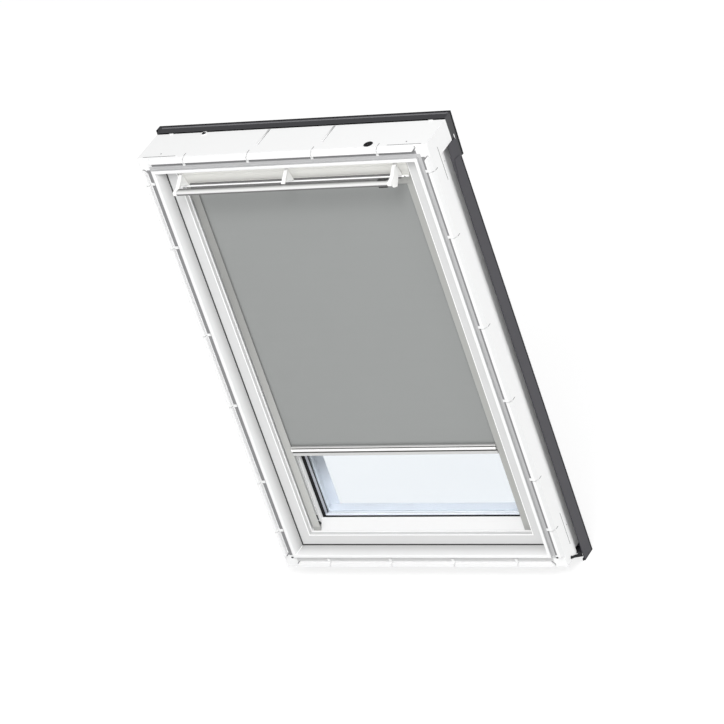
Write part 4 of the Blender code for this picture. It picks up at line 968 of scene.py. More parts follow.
@dataclass
class OuterFrame(Assembly):
    """The fixed outer frame: one ring with its lip, lining groove, outer strips and marks."""

    body: ClassVar[Body] = Body.FRAME
    half_width: float = 0.390
    half_height: float = 0.589
    depth: float = 0.118
    strip_front: float = 0.0055
    strip_inner: float = 0.0135
    groove_floor: float = 0.010
    lip_outer: float = 0.032
    lip_inner: float = 0.040
    reveal_inset: float = 0.0485
    reveal_depth: float = 0.030
    strip_end: float = 0.033
    strip_chamfer: float = 0.006
    shade_outer: float = 0.0155
    shade_inner: float = 0.0243
    seal_depth: float = 0.040
    slit: float = 0.0018
    head_slits: Sequence[float] = (-0.261, -0.087, 0.087, 0.261)
    jamb_slits: Sequence[float] = (0.518, 0.341, 0.094, -0.111, -0.335, -0.480)
    shoulder_start: float = 0.050
    shoulder_end: float = 0.087
    shoulder_inset: float = 0.0145
    shoulder_steps: int = 14
    corner_block: float = 0.055
    mark_length: float = 0.090
    mark_start: float = 0.015
    mark_sunk: float = 0.0006
    mark_proud: float = -0.00012
    jamb_marks: Sequence[tuple[int, Place]] = ((-1, (-0.550, -0.460, -0.504)),
                                               (1, (0.470, 0.557, 0.511)))
    jamb_mark_depths: Point = (0.0484, 0.0500)
    jamb_dot: Place = (0.0016, 0.063, 0.0017)
    end_mark_depths: Point = (0.0126, 0.0144)
    end_dot: Place = (0.059, 0.026, 0.0019)
    dot_heights: Point = (-0.0005, 0.0002)
    dot_lean: Point = (0.013, 0.0544)
    dot_segments: int = 14
    mitre_radius: float = 0.0015
    rib_places: Sequence[float] = (-0.078, 0.098)
    rib_front: float = 0.045
    rib_back: float = 0.115
    tab_places: Sequence[float] = (-0.350, 0.352)
    grommet_place: Point = (0.232, 0.0225)
    gland_place: Point = (-0.256, 0.111)
    hinge_seat: Box = ((0.3405, 0.0445, -0.0406), (0.3458, 0.0795, 0.0406))
    striker_seat: Box = ((-0.0306, 0.052, 0.5395), (0.0306, 0.075, 0.543))
    mortise: Box = ((-0.009, 0.0595, 0.540), (0.009, 0.0675, 0.5525))
    plug_place: Point = (0.3685, -0.5625)
    plug_stretch: float = 1.35
    overcut: float = 0.001

    def x(self, side: int, inset: float) -> float:
        """Place across the window at an inset from the outer side of a jamb."""
        return side * (self.half_width - inset)

    def z(self, end: int, inset: float) -> float:
        """Place along the window at an inset from the outer side of the head or sill."""
        return end * (self.half_height - inset)

    def build(self) -> None:
        """Make the frame with its small fittings."""
        floor = self.groove_floor
        body = ring("outer_frame", rounded([
            (self.strip_front, 0, 0.0009), (0, floor, 0.0012), (0, self.depth, 0.0008),
            (self.reveal_inset, self.depth, 0.0008), (self.reveal_inset, self.seal_depth, 0),
            (self.reveal_inset, self.reveal_depth, 0.003), (self.lip_inner, 0, 0.0022),
            (self.lip_outer, 0, 0.0014), (self.lip_outer, floor, 0.0012),
            (self.shade_inner, floor, 0), (self.shade_outer, floor, 0),
            (self.strip_inner, floor, 0.0010), (self.strip_inner, 0, 0.0009)]),
            self.half_width, self.half_height)
        carve(body, self._strip_cutters())
        carve(body, [self._shoulder_cutter(side) for side, _ in SIDES])
        carve(body, self._socket_cutters())
        self.put(body, FRAME_WHITE, 0.0005, "frame_head", "frame_sill", "frame_jamb_left",
                 "frame_jamb_right")
        self._shade(body)
        marks = self._at_slits((self.mark_sunk, self.mark_proud), (0.0112, 0.0240),
                               (-0.0009, 0.0009), (-0.0009, 0.0009))
        lugs = self._at_slits((self.strip_inner - 0.0005, self.shade_inner + 0.0004),
                              (0.0078, floor), (-0.0034, 0.0034), (-0.0084, -0.0016))
        for name, parts, look, edge in (
                ("face_marks", self._marks(), MARK_GREY, 0),
                ("slit_marks", marks, MARK_LIGHT, 0),
                ("corner_pads", self._pads(), FRAME_WHITE, 0),
                ("strip_end_shades", self._end_shades(), GROOVE_SHADE, 0),
                ("head_ribs", self._ribs(), FRAME_WHITE, 0),
                ("mitre_highlights", self._mitre_highlights(), EDGE_HIGHLIGHT, 0),
                ("groove_lugs", lugs, FRAME_WHITE, 0.0004),
                ("corner_plugs", self._plugs(), PLASTIC_BLACK, 0.0003)):
            self.put(merged(name, parts), look, edge)
        dress(RUBBER, "cable_grommet", "cable_gland")
        collar = lathe("gland_collar", [(0.0052, -0.0008), (0.0092, -0.0008), (0.0088, 0.0011),
                                        (0.0060, 0.0016), (0.0052, 0.0012)],
                       (*self.gland_place, self.half_height), UPWARDS)
        self.put(collar, FRAME_WHITE, 0.0002)
        dress(STEEL, "pivot_plate_left", "pivot_plate_right", "striker_plate")

    def _strip_cutters(self) -> list[Item]:
        """Solids that bare the corners and slit the outer strips.

        Returns:
            The cutters.
        """
        floor, inner = self.groove_floor - 0.0001, self.strip_inner + 0.0003
        past = -self.overcut
        cutters = []
        for side, end in CORNERS:
            x_out, z_out = self.x(side, past), self.z(end, past)
            x_in, z_in = self.x(side, inner), self.z(end, inner)
            x_end, z_end = self.x(side, self.strip_end), self.z(end, self.strip_end)
            dx, dz = side * self.strip_chamfer, end * self.strip_chamfer
            outline = [(x_end, z_out), (x_out, z_out), (x_out, z_end), (x_in + dx, z_end),
                       (x_in, z_end - dz), (x_in, z_in), (x_end - dx, z_in), (x_end, z_in + dz)]
            cutters.append(bar("corner", outline, past, floor, Run.ALONG_Y))
        half = self.slit / 2
        return cutters + self._at_slits((inner, past), (past, floor), (-half, half), (-half, half))

    def _at_slits(self, insets: Point, depths: Point, jamb: Point, head: Point) -> list[Item]:
        """Boxes at every slit of the outer strips.

        Args:
            insets: Inner and outer end of a box, as insets from the frame's outer side.
            depths: Its front and back.
            jamb: Its ends along a jamb, from the middle of the slit.
            head: Its ends along the head or sill, from the middle of the slit.

        Returns:
            The boxes.
        """
        (inner, outer), (front, back) = insets, depths
        boxes = [block("box", (self.x(side, inner), front, z + jamb[0]),
                       (self.x(side, outer), back, z + jamb[1]))
                 for side, _ in SIDES for z in self.jamb_slits]
        return boxes + [block("box", (x + head[0], front, self.z(end, inner)),
                              (x + head[1], back, self.z(end, outer)))
                        for end in ENDS for x in self.head_slits]

    def _shade(self, body: Item) -> None:
        """Paint light and shade onto the frame.

        Painted shade goes in the lining groove, on the reveal, on the seal in the gap and on the
        strips' top and right-hand edges; painted light goes on the top face and the strips' inner
        walls.

        Args:
            body: The frame.
        """
        def inset(centre: Vector) -> float:
            """Distance of a face's centre from the frame's outer side."""
            return min(self.half_width - abs(centre.x), self.half_height - abs(centre.z))

        def on_floor(centre: Vector) -> bool:
            """Whether a face lies on the floor of the lining groove."""
            return abs(centre.y - self.groove_floor) < 0.00005

        def on_slope(normal: Vector) -> bool:
            """Whether a face is part of a rounded front edge."""
            return -0.9 < normal.y < -0.3

        shade_start, lip = self.shade_outer - 0.0003, self.lip_outer + 0.0003
        paint(body, GROOVE_SHADE, lambda c, n: on_floor(c)
              and shade_start < inset(c) < self.shade_inner)
        paint(body, GROOVE_SOFT_SHADE, lambda c, n: (on_floor(c) and self.shade_inner < inset(c) < lip)
              or (0.0012 < c.y < self.groove_floor and lip - 0.0018 < inset(c) < lip))
        paint(body, REVEAL_SHADE, lambda c, n: 0.0015 < c.y < 0.0285
              and self.lip_inner < inset(c) < self.reveal_inset + 0.0005)
        paint(body, GAP_SEAL_AND_SHADE, lambda c, n: self.reveal_depth < c.y < self.seal_depth
              and abs(inset(c) - self.reveal_inset) < 0.0006)
        paint(body, SILL_GROOVE_SHADE, lambda c, n: on_floor(c) and c.z < -0.55 and abs(c.x) < 0.36
              and shade_start < inset(c) < lip)
        paint(body, TOP_PAINTED_LIGHT, lambda c, n: n.z > 0.7 and c.z > self.half_height - 0.012)
        paint(body, STRIP_TOP_SHADE, lambda c, n: on_slope(n) and n.z > 0.3
              and c.z > self.half_height - 0.008)
        paint(body, STRIP_SIDE_SHADE, lambda c, n: on_slope(n) and n.x > 0.3
              and c.x > self.half_width - 0.008)
        paint(body, STRIP_WALL_LIGHT, lambda c, n: abs(inset(c) - self.strip_inner) < 0.0008
              and 0.001 < c.y < self.groove_floor - 0.001 and (n.x > 0.7 or n.z > 0.7)
              and (c.x < 0 or n.z > 0.7))

    def _inlay(self, side: int, end: int, low: Point, high: Point) -> Item:
        """A thin inlay on a jamb's side (side not 0) or on the head or sill (end not 0).

        Args:
            side: Which jamb, or 0.
            end: Head or sill, or 0.
            low: Lowest place along the member and depth.
            high: Highest place along the member and depth.

        Returns:
            The inlay.
        """
        if side:
            return block("inlay", (self.x(side, self.mark_sunk), low[1], low[0]),
                         (self.x(side, self.mark_proud), high[1], high[0]))
        return block("inlay", (low[0], low[1], self.z(end, self.mark_sunk)),
                     (high[0], high[1], self.z(end, self.mark_proud)))

    def _marks(self) -> list[Item]:
        """Fixing lines and dots on the outer faces: dark inlays painted as the shade of thin
        grooves.

        Returns:
            The lines and dots.
        """
        marks = []
        run, radius = self.dot_lean
        lean = math.asin(run / radius)
        along_jamb = dict(self.jamb_marks)
        for side, end in CORNERS:
            low, high, middle = along_jamb[end]
            front, back = self.jamb_mark_depths
            marks.append(self._inlay(side, 0, (low, front), (high, back)))
            inset, depth, size = self.jamb_dot
            marks.append(disc("dot", size, *self.dot_heights, (self.x(side, inset), depth, middle),
                              (side * math.cos(lean), math.sin(lean), 0), self.dot_segments))
            a, b = sorted((self.x(side, self.mark_start),
                           self.x(side, self.mark_start + self.mark_length)))
            front, back = self.end_mark_depths
            marks.append(self._inlay(0, end, (a, front), (b, back)))
            inset, depth, size = self.end_dot
            marks.append(disc("dot", size, *self.dot_heights,
                              (self.x(side, inset), depth, self.z(end, 0)), (0, 0, end),
                              self.dot_segments))
        # A dark line beside each rib on the head's top: painted shade of the rib.
        return marks + [self._inlay(0, 1, (x + 0.0022, self.rib_front), (x + 0.0034, self.rib_back))
                        for x in self.rib_places]

    def _end_shades(self) -> list[Item]:
        """Painted shade: dark lines on the groove floor round the chamfered ends of the outer
        strips.

        Returns:
            The lines.
        """
        path = [(-0.0002, 0.0045), (-0.0022, 0.0045), (-0.0022, 0.0085), (0.0036, 0.0158),
                (0.0085, 0.0158), (0.0058, 0.0140), (-0.0002, 0.0080)]
        marks = []
        for side, end in CORNERS:
            for outline in (
                    [(self.x(side, self.strip_end + a), self.z(end, u)) for a, u in path],
                    [(self.x(side, u), self.z(end, self.strip_end + a)) for a, u in path]):
                marks.append(bar("end_mark", outline, self.groove_floor - 0.0006,
                                 self.groove_floor + 0.0006, Run.ALONG_Y))
        return marks

    def _pads(self) -> list[Item]:
        """Level white pads at the four corners, between the ends of the strips.

        Returns:
            The pads.
        """
        near, far, inner = 0.0014, self.strip_end + 0.0002, self.shade_inner + 0.0002
        path = [(far, near), (near, near), (near, far), (inner, far), (inner, inner), (far, inner)]
        return [bar("pad", [(self.x(side, a), self.z(end, b)) for a, b in path],
                    self.groove_floor - 0.0004, self.groove_floor + 0.0006, Run.ALONG_Y)
                for side, end in CORNERS]

    def _ribs(self) -> list[Item]:
        """Low white ribs and tabs on the top of the head.

        Returns:
            The ribs and tabs.
        """
        top = self.half_height
        ribs = [block("rib", (x - 0.0016, self.rib_front, top - 0.0005),
                      (x + 0.0018, self.rib_back, top + 0.0006)) for x in self.rib_places]
        ribs += [block("tab", (x - 0.006, 0.1135, top - 0.0005), (x + 0.006, self.depth,
                       top + 0.0016)) for x in self.tab_places]
        return [soften(rib, 0.0003) for rib in ribs]

    def _mitre_highlights(self) -> list[Item]:
        """Painted highlights: thin bright rods along the mitres of the reveal.

        Returns:
            The highlight rods.
        """
        # The beads are painted highlight rods, one along each mitre.
        beads, r = [], self.mitre_radius
        for side, end in CORNERS:
            loops = []
            for u, y in ((self.lip_inner + 0.0004, 0.0015), (self.reveal_inset, 0.0285)):
                x, z = self.x(side, u), self.z(end, u)
                loops.append([(x - r, y, z), (x, y - r, z), (x + r, y, z), (x, y + r, z)])
            beads.append(loft("mitre", loops))
        return beads

    def _shoulder_cutter(self, side: int) -> Item:
        """Solid outside the rounded exterior shoulder of a jamb, below its corner block.

        Args:
            side: Side of the window: -1 for the left, 1 for the right.

        Returns:
            The cutter.
        """
        run = self.shoulder_end - self.shoulder_start
        radius = (run ** 2 + self.shoulder_inset ** 2) / (2 * self.shoulder_inset)
        sweep = math.asin(run / radius)
        outside, behind = -0.012, self.depth + 0.02
        points = [(outside, self.shoulder_start)]
        for step in range(self.shoulder_steps + 1):
            angle = sweep * step / self.shoulder_steps
            points.append((radius * (1 - math.cos(angle)),
                           self.shoulder_start + radius * math.sin(angle)))
        points += [(self.shoulder_inset, behind), (outside, behind)]
        top = self.half_height - self.corner_block
        cutter = bar("shoulder", [(self.x(side, u), y) for u, y in points],
                     -self.half_height - 0.02, top + 0.012, Run.ALONG_Z)
        slice_off(cutter, (side * self.half_width, 0, top), (-side * 0.75, 0, 1))
        return cutter

    def _socket_cutters(self) -> list[Item]:
        """Seats of the grommet, the gland, the corner plugs and the hinge parts.

        Returns:
            The cutters.
        """
        cutters = [disc("seat", radius, -0.0066, 0.002, (*place, self.half_height), UPWARDS)
                   for place, radius in ((self.grommet_place, 0.0116), (self.gland_place, 0.0053))]
        cutters += [mirrored("seat", side, self.hinge_seat) for side, _ in SIDES]
        return cutters + [block("seat", *self.striker_seat), block("seat", *self.mortise)]

    def _plugs(self) -> list[Item]:
        """Oval plugs on the two lower corner pads.

        Returns:
            The plugs.
        """
        plugs = []
        x, z = self.plug_place
        for side, _ in SIDES:
            plug = lathe("plug", [(0, -0.0006), (0.0027, -0.0006), (0.0027, 0.0003),
                                  (0.0021, 0.0007), (0, 0.0007)], (0, 0, 0), INWARDS, 24)
            plug.data.transform(Matrix.Translation((side * x, self.groove_floor, z))
                                @ Matrix.Scale(self.plug_stretch, 4, Vector((1, 0, 0))))
            plugs.append(plug)
        return plugs


@dataclass
class RoofCovers(Assembly):
    """Exterior sheet metal on the frame: hood, side claddings, sill cover and clips."""

    body: ClassVar[Body] = Body.FRAME
    half_width: float = 0.390
    hood_start: float = 0.1195
    hood_top: float = 0.592
    hood_low: float = 0.480
    hood_deep_top: float = 0.152
    hood_deep_low: float = 0.147
    hood_half: float = 0.389
    hood_flare: float = 0.0095
    sheet: float = 0.0012
    clad_outer: float = 0.3918
    clad_back: float = 0.131
    clad_low: float = -0.6235
    hood_tab: Box = ((0.3891, 0.1315, 0.527), (0.3896, 0.1345, 0.541))
    screw_inset: float = 0.0235
    screw_heights: Sequence[float] = (-0.52, -0.18, 0.16, 0.44)
    screw_places: Sequence[float] = (-0.34, -0.113, 0.113, 0.34)
    hood_screw: Point = (0.1486, 0.514)
    sill_screw: Point = (0.1201, -0.574)
    screw_radius: float = 0.0036

    def build(self) -> None:
        """Make the covers."""
        self._hood()
        self._hood_seals()
        for side, label in SIDES:
            dress(COVER_DARK, f"cladding_{label}", width=0.0004)
            self._foot_seal(side, label)
            self._step_plate(side, label)
            self._edge_trim(side, label)
        dress(COVER_DARK, "sill_cover", width=0.0004)
        self.put(merged("cover_screws", self._screws()), STEEL)

    def _hood(self) -> None:
        """Folded hood with a bead along its top, lighter as painted highlight, and a flared left
        end.
        """
        start, top, low = self.hood_start, self.hood_top, self.hood_low
        deep_top, deep_low, sheet = self.hood_deep_top, self.hood_deep_low, self.sheet
        half, end = self.hood_half - sheet, -self.hood_half
        outline = rounded([
            (top, start, 0.0006), (top, 0.1405, 0), (top + 0.0012, 0.1425, 0.002),
            (top + 0.0012, 0.1455, 0.002), (top, 0.1475, 0), (top, deep_top, 0.0022),
            (low, deep_low, 0.0006), (low, start, 0)], 5)
        shell = bar("hood_shell", outline, end, self.hood_half, Run.ALONG_X)
        inside = [(top - sheet, start - 0.001), (top - sheet, deep_top - sheet),
                  (low - 0.001, deep_low - sheet), (low - 0.001, start - 0.001)]
        carve(shell, [bar("inside", inside, -half, half, Run.ALONG_X)])
        self.put(shell, HOOD_DARK, 0.0004, "hood")
        # The bead carries a lighter finish: painted highlight.
        bead = rounded([(top - 0.0005, 0.1385, 0), (top + 0.0011, 0.1400, 0.001),
                        (top + 0.0011, 0.1455, 0.001), (top - 0.0005, 0.1470, 0)])
        self.put(bar("hood_highlight", bead, end + 0.002, -end - 0.002, Run.ALONG_X), HOOD_HIGHLIGHT,
                 0.0002)
        flare = [(end + 0.0004, start), (end - 0.0058, start + 0.0115),
                 (end - self.hood_flare, deep_top - 0.0020),
                 (end - self.hood_flare + 0.0014, deep_top + 0.0002), (end + 0.0004, deep_top)]
        self.put(bar("hood_flare", flare, low + 0.002, top + 0.0004, Run.ALONG_Z), HOOD_DARK,
                 0.0004)
        self.put(block("hood_tab", *self.hood_tab), FRAME_WHITE, 0.0002)

    def _hood_seals(self) -> None:
        """Black seals on the edges of the hood."""
        top, low, deep = self.hood_top, self.hood_low, self.hood_deep_top
        tip = -self.hood_half - self.hood_flare
        seals = [bar("seal", rounded([(top - 0.0012, deep + 0.0002, 0.0006),
                                      (top + 0.0007, deep + 0.0002, 0.0006),
                                      (top + 0.0007, deep - 0.0052, 0.0004),
                                      (top - 0.0012, deep - 0.0052, 0.0004)], 3),
                     tip + 0.001, self.hood_half, Run.ALONG_X),
                 bar("seal", [(tip - 0.0004, 0.1310), (tip + 0.0022, 0.1290),
                              (tip + 0.0026, deep), (tip - 0.0004, deep)],
                     low + 0.002, top + 0.0008, Run.ALONG_Z)]
        for side, _ in SIDES:
            out, inn = side * (self.hood_half + 0.0004), side * (self.hood_half - 0.0008)
            seals.append(loft("seal", [
                [(out, y - 0.0060, z), (out, y + 0.0002, z), (inn, y + 0.0002, z),
                 (inn, y - 0.0060, z)]
                for z, y in ((low, self.hood_deep_low), (top + 0.0004, deep))]))
        self.put(merged("hood_seal", seals), EDGE_BLACK, 0.0002)

    def _step_plate(self, side: int, label: str) -> None:
        """Plate over the cladding's foot piece with a sloping upper end under the hood.

        Args:
            side: Side of the window: -1 for the left, 1 for the right.
            label: That side in the names of pieces.
        """
        low, back = self.clad_low + 0.0005, self.clad_back - 0.0008
        outline = [(0.0865, low), (back, low), (back, 0.4835), (0.1235, 0.4905), (0.1005, 0.4935),
                   (0.0955, 0.4830), (0.0945, 0.4640), (0.0865, 0.4400)]
        faces = sorted((side * (self.clad_outer - 0.0002), side * (self.clad_outer + 0.0009)))
        self.put(plate(f"cladding_plate_{label}", outline, *faces), COVER_DARK, 0.0003)

    def _foot_seal(self, side: int, label: str) -> None:
        """Black seal at the foot of the side cladding, with a round bead at either end.

        Args:
            side: Side of the window: -1 for the left, 1 for the right.
            label: That side in the names of pieces.
        """
        near, far = side * (self.half_width + 0.0002), side * (self.half_width + 0.0012)
        parts = [disc("bead", 0.0040, 0, 0.0010, (near, y, z), (side, 0, 0), 20)
                 for y, z in ((0.0356, -0.5800), (0.0830, -0.6190))]
        outline = [(0.0340, -0.5765), (0.0492, -0.5837), (0.0676, -0.5920), (0.0825, -0.5949),
                   (0.0850, -0.6124), (0.0484, -0.5900), (0.0340, -0.5830)]
        parts.append(plate("strap", outline, near, far))
        self.put(merged(f"foot_seal_{label}", parts), EDGE_BLACK, 0, f"end_clip_{label}")

    def _edge_trim(self, side: int, label: str) -> None:
        """Black strip along the outer fold and the foot of the cladding.

        Args:
            side: Side of the window: -1 for the left, 1 for the right.
            label: That side in the names of pieces.
        """
        out, inn = side * (self.clad_outer + 0.0013), side * (self.clad_outer - 0.0016)
        back, low = self.clad_back + 0.0004, self.clad_low
        section = rounded([(out, back, 0.0005), (out, back - 0.0046, 0.0005),
                           (inn, back - 0.0046, 0.0003), (inn, back, 0.0003)], 3)
        trim = bar("trim", section, low - 0.0008, 0.4830, Run.ALONG_Z)
        sole = bar("sole", [(out, 0.0858), (out, back), (inn, back), (inn, 0.0858)],
                   low - 0.0010, low + 0.0012, Run.ALONG_Z)
        self.put(merged(f"cladding_black_edge_{label}", [trim, sole]), EDGE_BLACK, 0.0002)

    def _screws(self) -> list[Item]:
        """Screws that hold the covers, seen from outside.

        Returns:
            The screws.
        """
        places = [(side * (self.half_width - self.screw_inset), self.clad_back + 0.0002, z)
                  for side, _ in SIDES for z in self.screw_heights]
        for x in self.screw_places:
            places += [(x, *self.hood_screw), (x, *self.sill_screw)]
        return [screw_head("screw", place, self.screw_radius) for place in places]


@dataclass
class Sash(Assembly):
    """The turning sash: its frame, top rail, panes, gasket, beads, covers and seal."""

    body: ClassVar[Body] = Body.SASH
    half_width: float = 0.338
    half_height: float = 0.537
    front: float = 0.030
    face: float = 0.028
    step: float = 0.0295
    step_back: float = 0.0445
    shoulder: float = 0.058
    glazed_inset: float = 0.0575
    fin: Box = ((0.2620, 0.1298, -0.4845), (0.334, 0.1311, 0.4965))
    flange_back: float = 0.068
    rebate_inset: float = 0.0375
    back: float = 0.100
    sill_edge: float = -0.4825
    sill_meets: float = -0.5078
    slope_back: float = 0.0665
    top_edge: float = 0.497
    top_front: float = 0.045
    pane_half: float = 0.300
    pane_low: float = -0.497
    pane_top: float = 0.509
    pane_depths: Sequence[float] = (0.075, 0.095)
    pane_thickness: float = 0.004
    hinge_pocket: Box = ((0.3278, 0.0455, -0.0305), (0.339, 0.0785, 0.0305))
    cap_seat: Box = ((0.287, 0.040, 0.4672), (0.3086, 0.0685, 0.4972))
    lock_seat: Box = ((-0.0256, 0.0517, 0.5110), (0.0256, 0.0754, 0.5395))
    rail_half: float = 0.3082
    cover_face: float = 0.1329
    side_screw: float = 0.311
    side_screws: Sequence[float] = (-0.42, -0.14, 0.14, 0.42)
    end_screws: Sequence[float] = (-0.2, 0.0, 0.2)
    end_screw_heights: Point = (-0.5085, 0.5145)
    screw_radius: float = 0.0032

    def build(self) -> None:
        """Make the sash and its glazing."""
        self._frame()
        self._top_rail()
        self._glazing()
        self._edge_highlights()
        for side, label in SIDES:
            self.put(mirrored(f"bead_fin_{label}", side, self.fin), BEAD_WHITE, 0.0003)
        dress(BEAD_WHITE, "bead_left", "bead_right", "bead_bottom", "bead_top")
        dress(COVER_DARK, "cover_left", "cover_right", "cover_top", "cover_bottom")
        dress(RUBBER, "perimeter_seal")
        dress(STEEL, "pivot_socket_left", "pivot_socket_right", "lock_case", "lock_tongue")
        dress(FLEECE, "vent_filter")
        self.put(merged("sash_screws", self._screws()), STEEL)

    def _frame(self) -> None:
        """Stiles and bottom rail as one moulding, with the flanges that hold the glass."""
        back, flange, step_back = self.back, self.flange_back, self.step_back
        outline = rounded([(0, self.front, 0.0016), (self.face, self.front, 0.0018),
                           (self.step, step_back, 0.0010), (self.step, back, 0),
                           (0, back, 0.0006)])
        parts = [ring("sides", outline, self.half_width, self.half_height, open_top=True)]
        inner = self.half_width - self.glazed_inset
        rebate = self.half_width - self.rebate_inset
        wall = self.half_width - self.step + 0.0002
        for side, _ in SIDES:
            section = rounded([(side * a, b, radius) for a, b, radius in (
                (wall, self.shoulder, 0), (inner, self.shoulder, 0.0012), (inner, flange, 0.0006),
                (rebate, flange, 0), (rebate, back, 0), (wall, back, 0))])
            parts.append(bar("flange", section, self.sill_meets, self.half_height, Run.ALONG_Z))
        low, edge = self.step - self.half_height - 0.0003, self.sill_edge
        section = rounded([(low, step_back - 0.0002, 0), (edge, self.slope_back, 0.0008),
                           (edge, flange, 0.0004), (edge - 0.0125, flange, 0),
                           (edge - 0.0125, back, 0), (low, back, 0)])
        parts.append(bar("sill", section, -wall, wall, Run.ALONG_X))
        body = fused("sash_frame", parts)
        carve(body, [mirrored("seat", side, box) for box in (self.hinge_pocket, self.cap_seat)
                     for side, _ in SIDES])
        self.put(body, SASH_WHITE, 0.0005, "sash_stile_left", "sash_stile_right",
                 "sash_bottom_rail")
        # Painted light on the sill faces that face the room and on the flanges.
        paint(body, SILL_PAINTED_LIGHT, lambda c, n: (self.sill_meets < c.z < -0.4840 and n.y < -0.3)
              or (self.shoulder - 0.001 < c.y < flange + 0.001 and abs(c.x) < 0.3080))

    def _edge_highlights(self) -> None:
        """Painted highlights: bright strips along the inner edges of the stiles and the bottom
        rail.
        """
        for name, inset, depth, section in (
                ("edge_highlight_front", self.face, self.front,
                 [(-0.0022, 0.0004), (-0.0018, -0.0004), (-0.0002, -0.0004), (0.0005, 0.0006),
                  (-0.0004, 0.0012)]),
                ("edge_highlight_step", self.step, self.step_back,
                 [(-0.0008, -0.0040), (0.0006, -0.0034), (0.0008, -0.0004), (-0.0004, 0)])):
            # Each bead is a painted highlight strip round the sash's inner edge.
            bead = ring(name, [(inset + u, depth + y) for u, y in section], self.half_width,
                        self.half_height, open_top=True)
            self.put(bead, EDGE_HIGHLIGHT, 0.0001)

    def _top_rail(self) -> None:
        """Recessed top rail with the pocket of the lock."""
        top, edge, front, back = self.half_height, self.top_edge, self.top_front, self.back
        section = rounded([(top, front, 0.0012), (edge, front, 0.0012),
                           (edge, self.flange_back, 0), (edge + 0.0125, self.flange_back, 0),
                           (edge + 0.0125, back, 0), (top, back, 0)])
        rail = bar("top_rail", section, -self.rail_half, self.rail_half, Run.ALONG_X)
        carve(rail, [block("seat", *self.lock_seat)])
        self.put(rail, SASH_WHITE, 0.0004, "sash_top_rail")

    def _glazing(self) -> None:
        """Panes with polished edges, the spacer bar, the gasket with its lip and a painted
        highlight at the outer pane's edge.
        """
        edge = 0.0004
        for node, front in zip(("inner_pane", "outer_pane"), self.pane_depths):
            back = front + self.pane_thickness
            loops = [[(x * (self.pane_half - inset), y, z + (inset if z < 0 else -inset))
                      for x, z in ((-1, self.pane_low), (1, self.pane_low), (1, self.pane_top),
                                   (-1, self.pane_top))]
                     for y, inset in ((front, edge), (front + edge, 0.0), (back - edge, 0.0),
                                      (back, edge))]
            self.put(loft(f"{node}_sheet", loops), GLASS, 0, node)
        rings = (
            ("spacer_bar", 0.0002, SPACER, ["pane_spacer"],
             [(0, 0.0793), (0.0220, 0.0793), (0.0220, 0.0892), (0.0205, 0.0894),
              (0.0205, 0.0947), (0, 0.0947)]),
            ("spacer_sealant", 0.0002, GAP_BLACK, [],
             [(0.0190, 0.0896), (0.0223, 0.0896), (0.0223, 0.0943), (0.0190, 0.0943)]),
            ("gasket_lip", 0.0003, RUBBER, ["glazing_gasket"],
             [(0, 0.0684), (0.0185, 0.0684), (0.0215, 0.0690), (0.0248, 0.0715),
              (0.0250, 0.0746), (0, 0.0746)]),
            # The seal ring behind the outer pane, bright as its edge's painted highlight.
            ("outer_pane_seal_highlight", 0.0002, PANE_EDGE_HIGHLIGHT, [],
             [(0, 0.0992), (0.0236, 0.0992), (0.0238, 0.1010), (0.0222, 0.1042), (0, 0.1042)]))
        for name, width, look, nodes, section in rings:
            item = self.put(self._edge_ring(name, section), look, width, *nodes)
            if look is not RUBBER:
                paint(item, BEAD_WHITE, lambda c, n: c.z < self.pane_low + 0.02 and n.z > 0.5)

    def _edge_ring(self, name: str, section: Sequence[Point]) -> Item:
        """A section of (inset, depth) points swept round the edge of the glass.

        Args:
            name: Name of the piece.
            section: Points as (inset from the edge, depth).

        Returns:
            The new object.
        """
        low, high, mitre = self.pane_low, self.pane_top, 0.58
        return loft(name, [[(x * (self.pane_half - u), y, z + share * u) for u, y in section]
                           for x, z, share in ((-1, high, -mitre), (-1, low, mitre),
                                               (1, low, mitre), (1, high, -mitre))], closed=True)

    def _screws(self) -> list[Item]:
        """Screws of the exterior sash covers.

        Returns:
            The screws.
        """
        places = [(side * self.side_screw, z) for side, _ in SIDES for z in self.side_screws]
        places += [(x, z) for x in self.end_screws for z in self.end_screw_heights]
        return [screw_head("screw", (x, self.cover_face, z), self.screw_radius)
                for x, z in places]


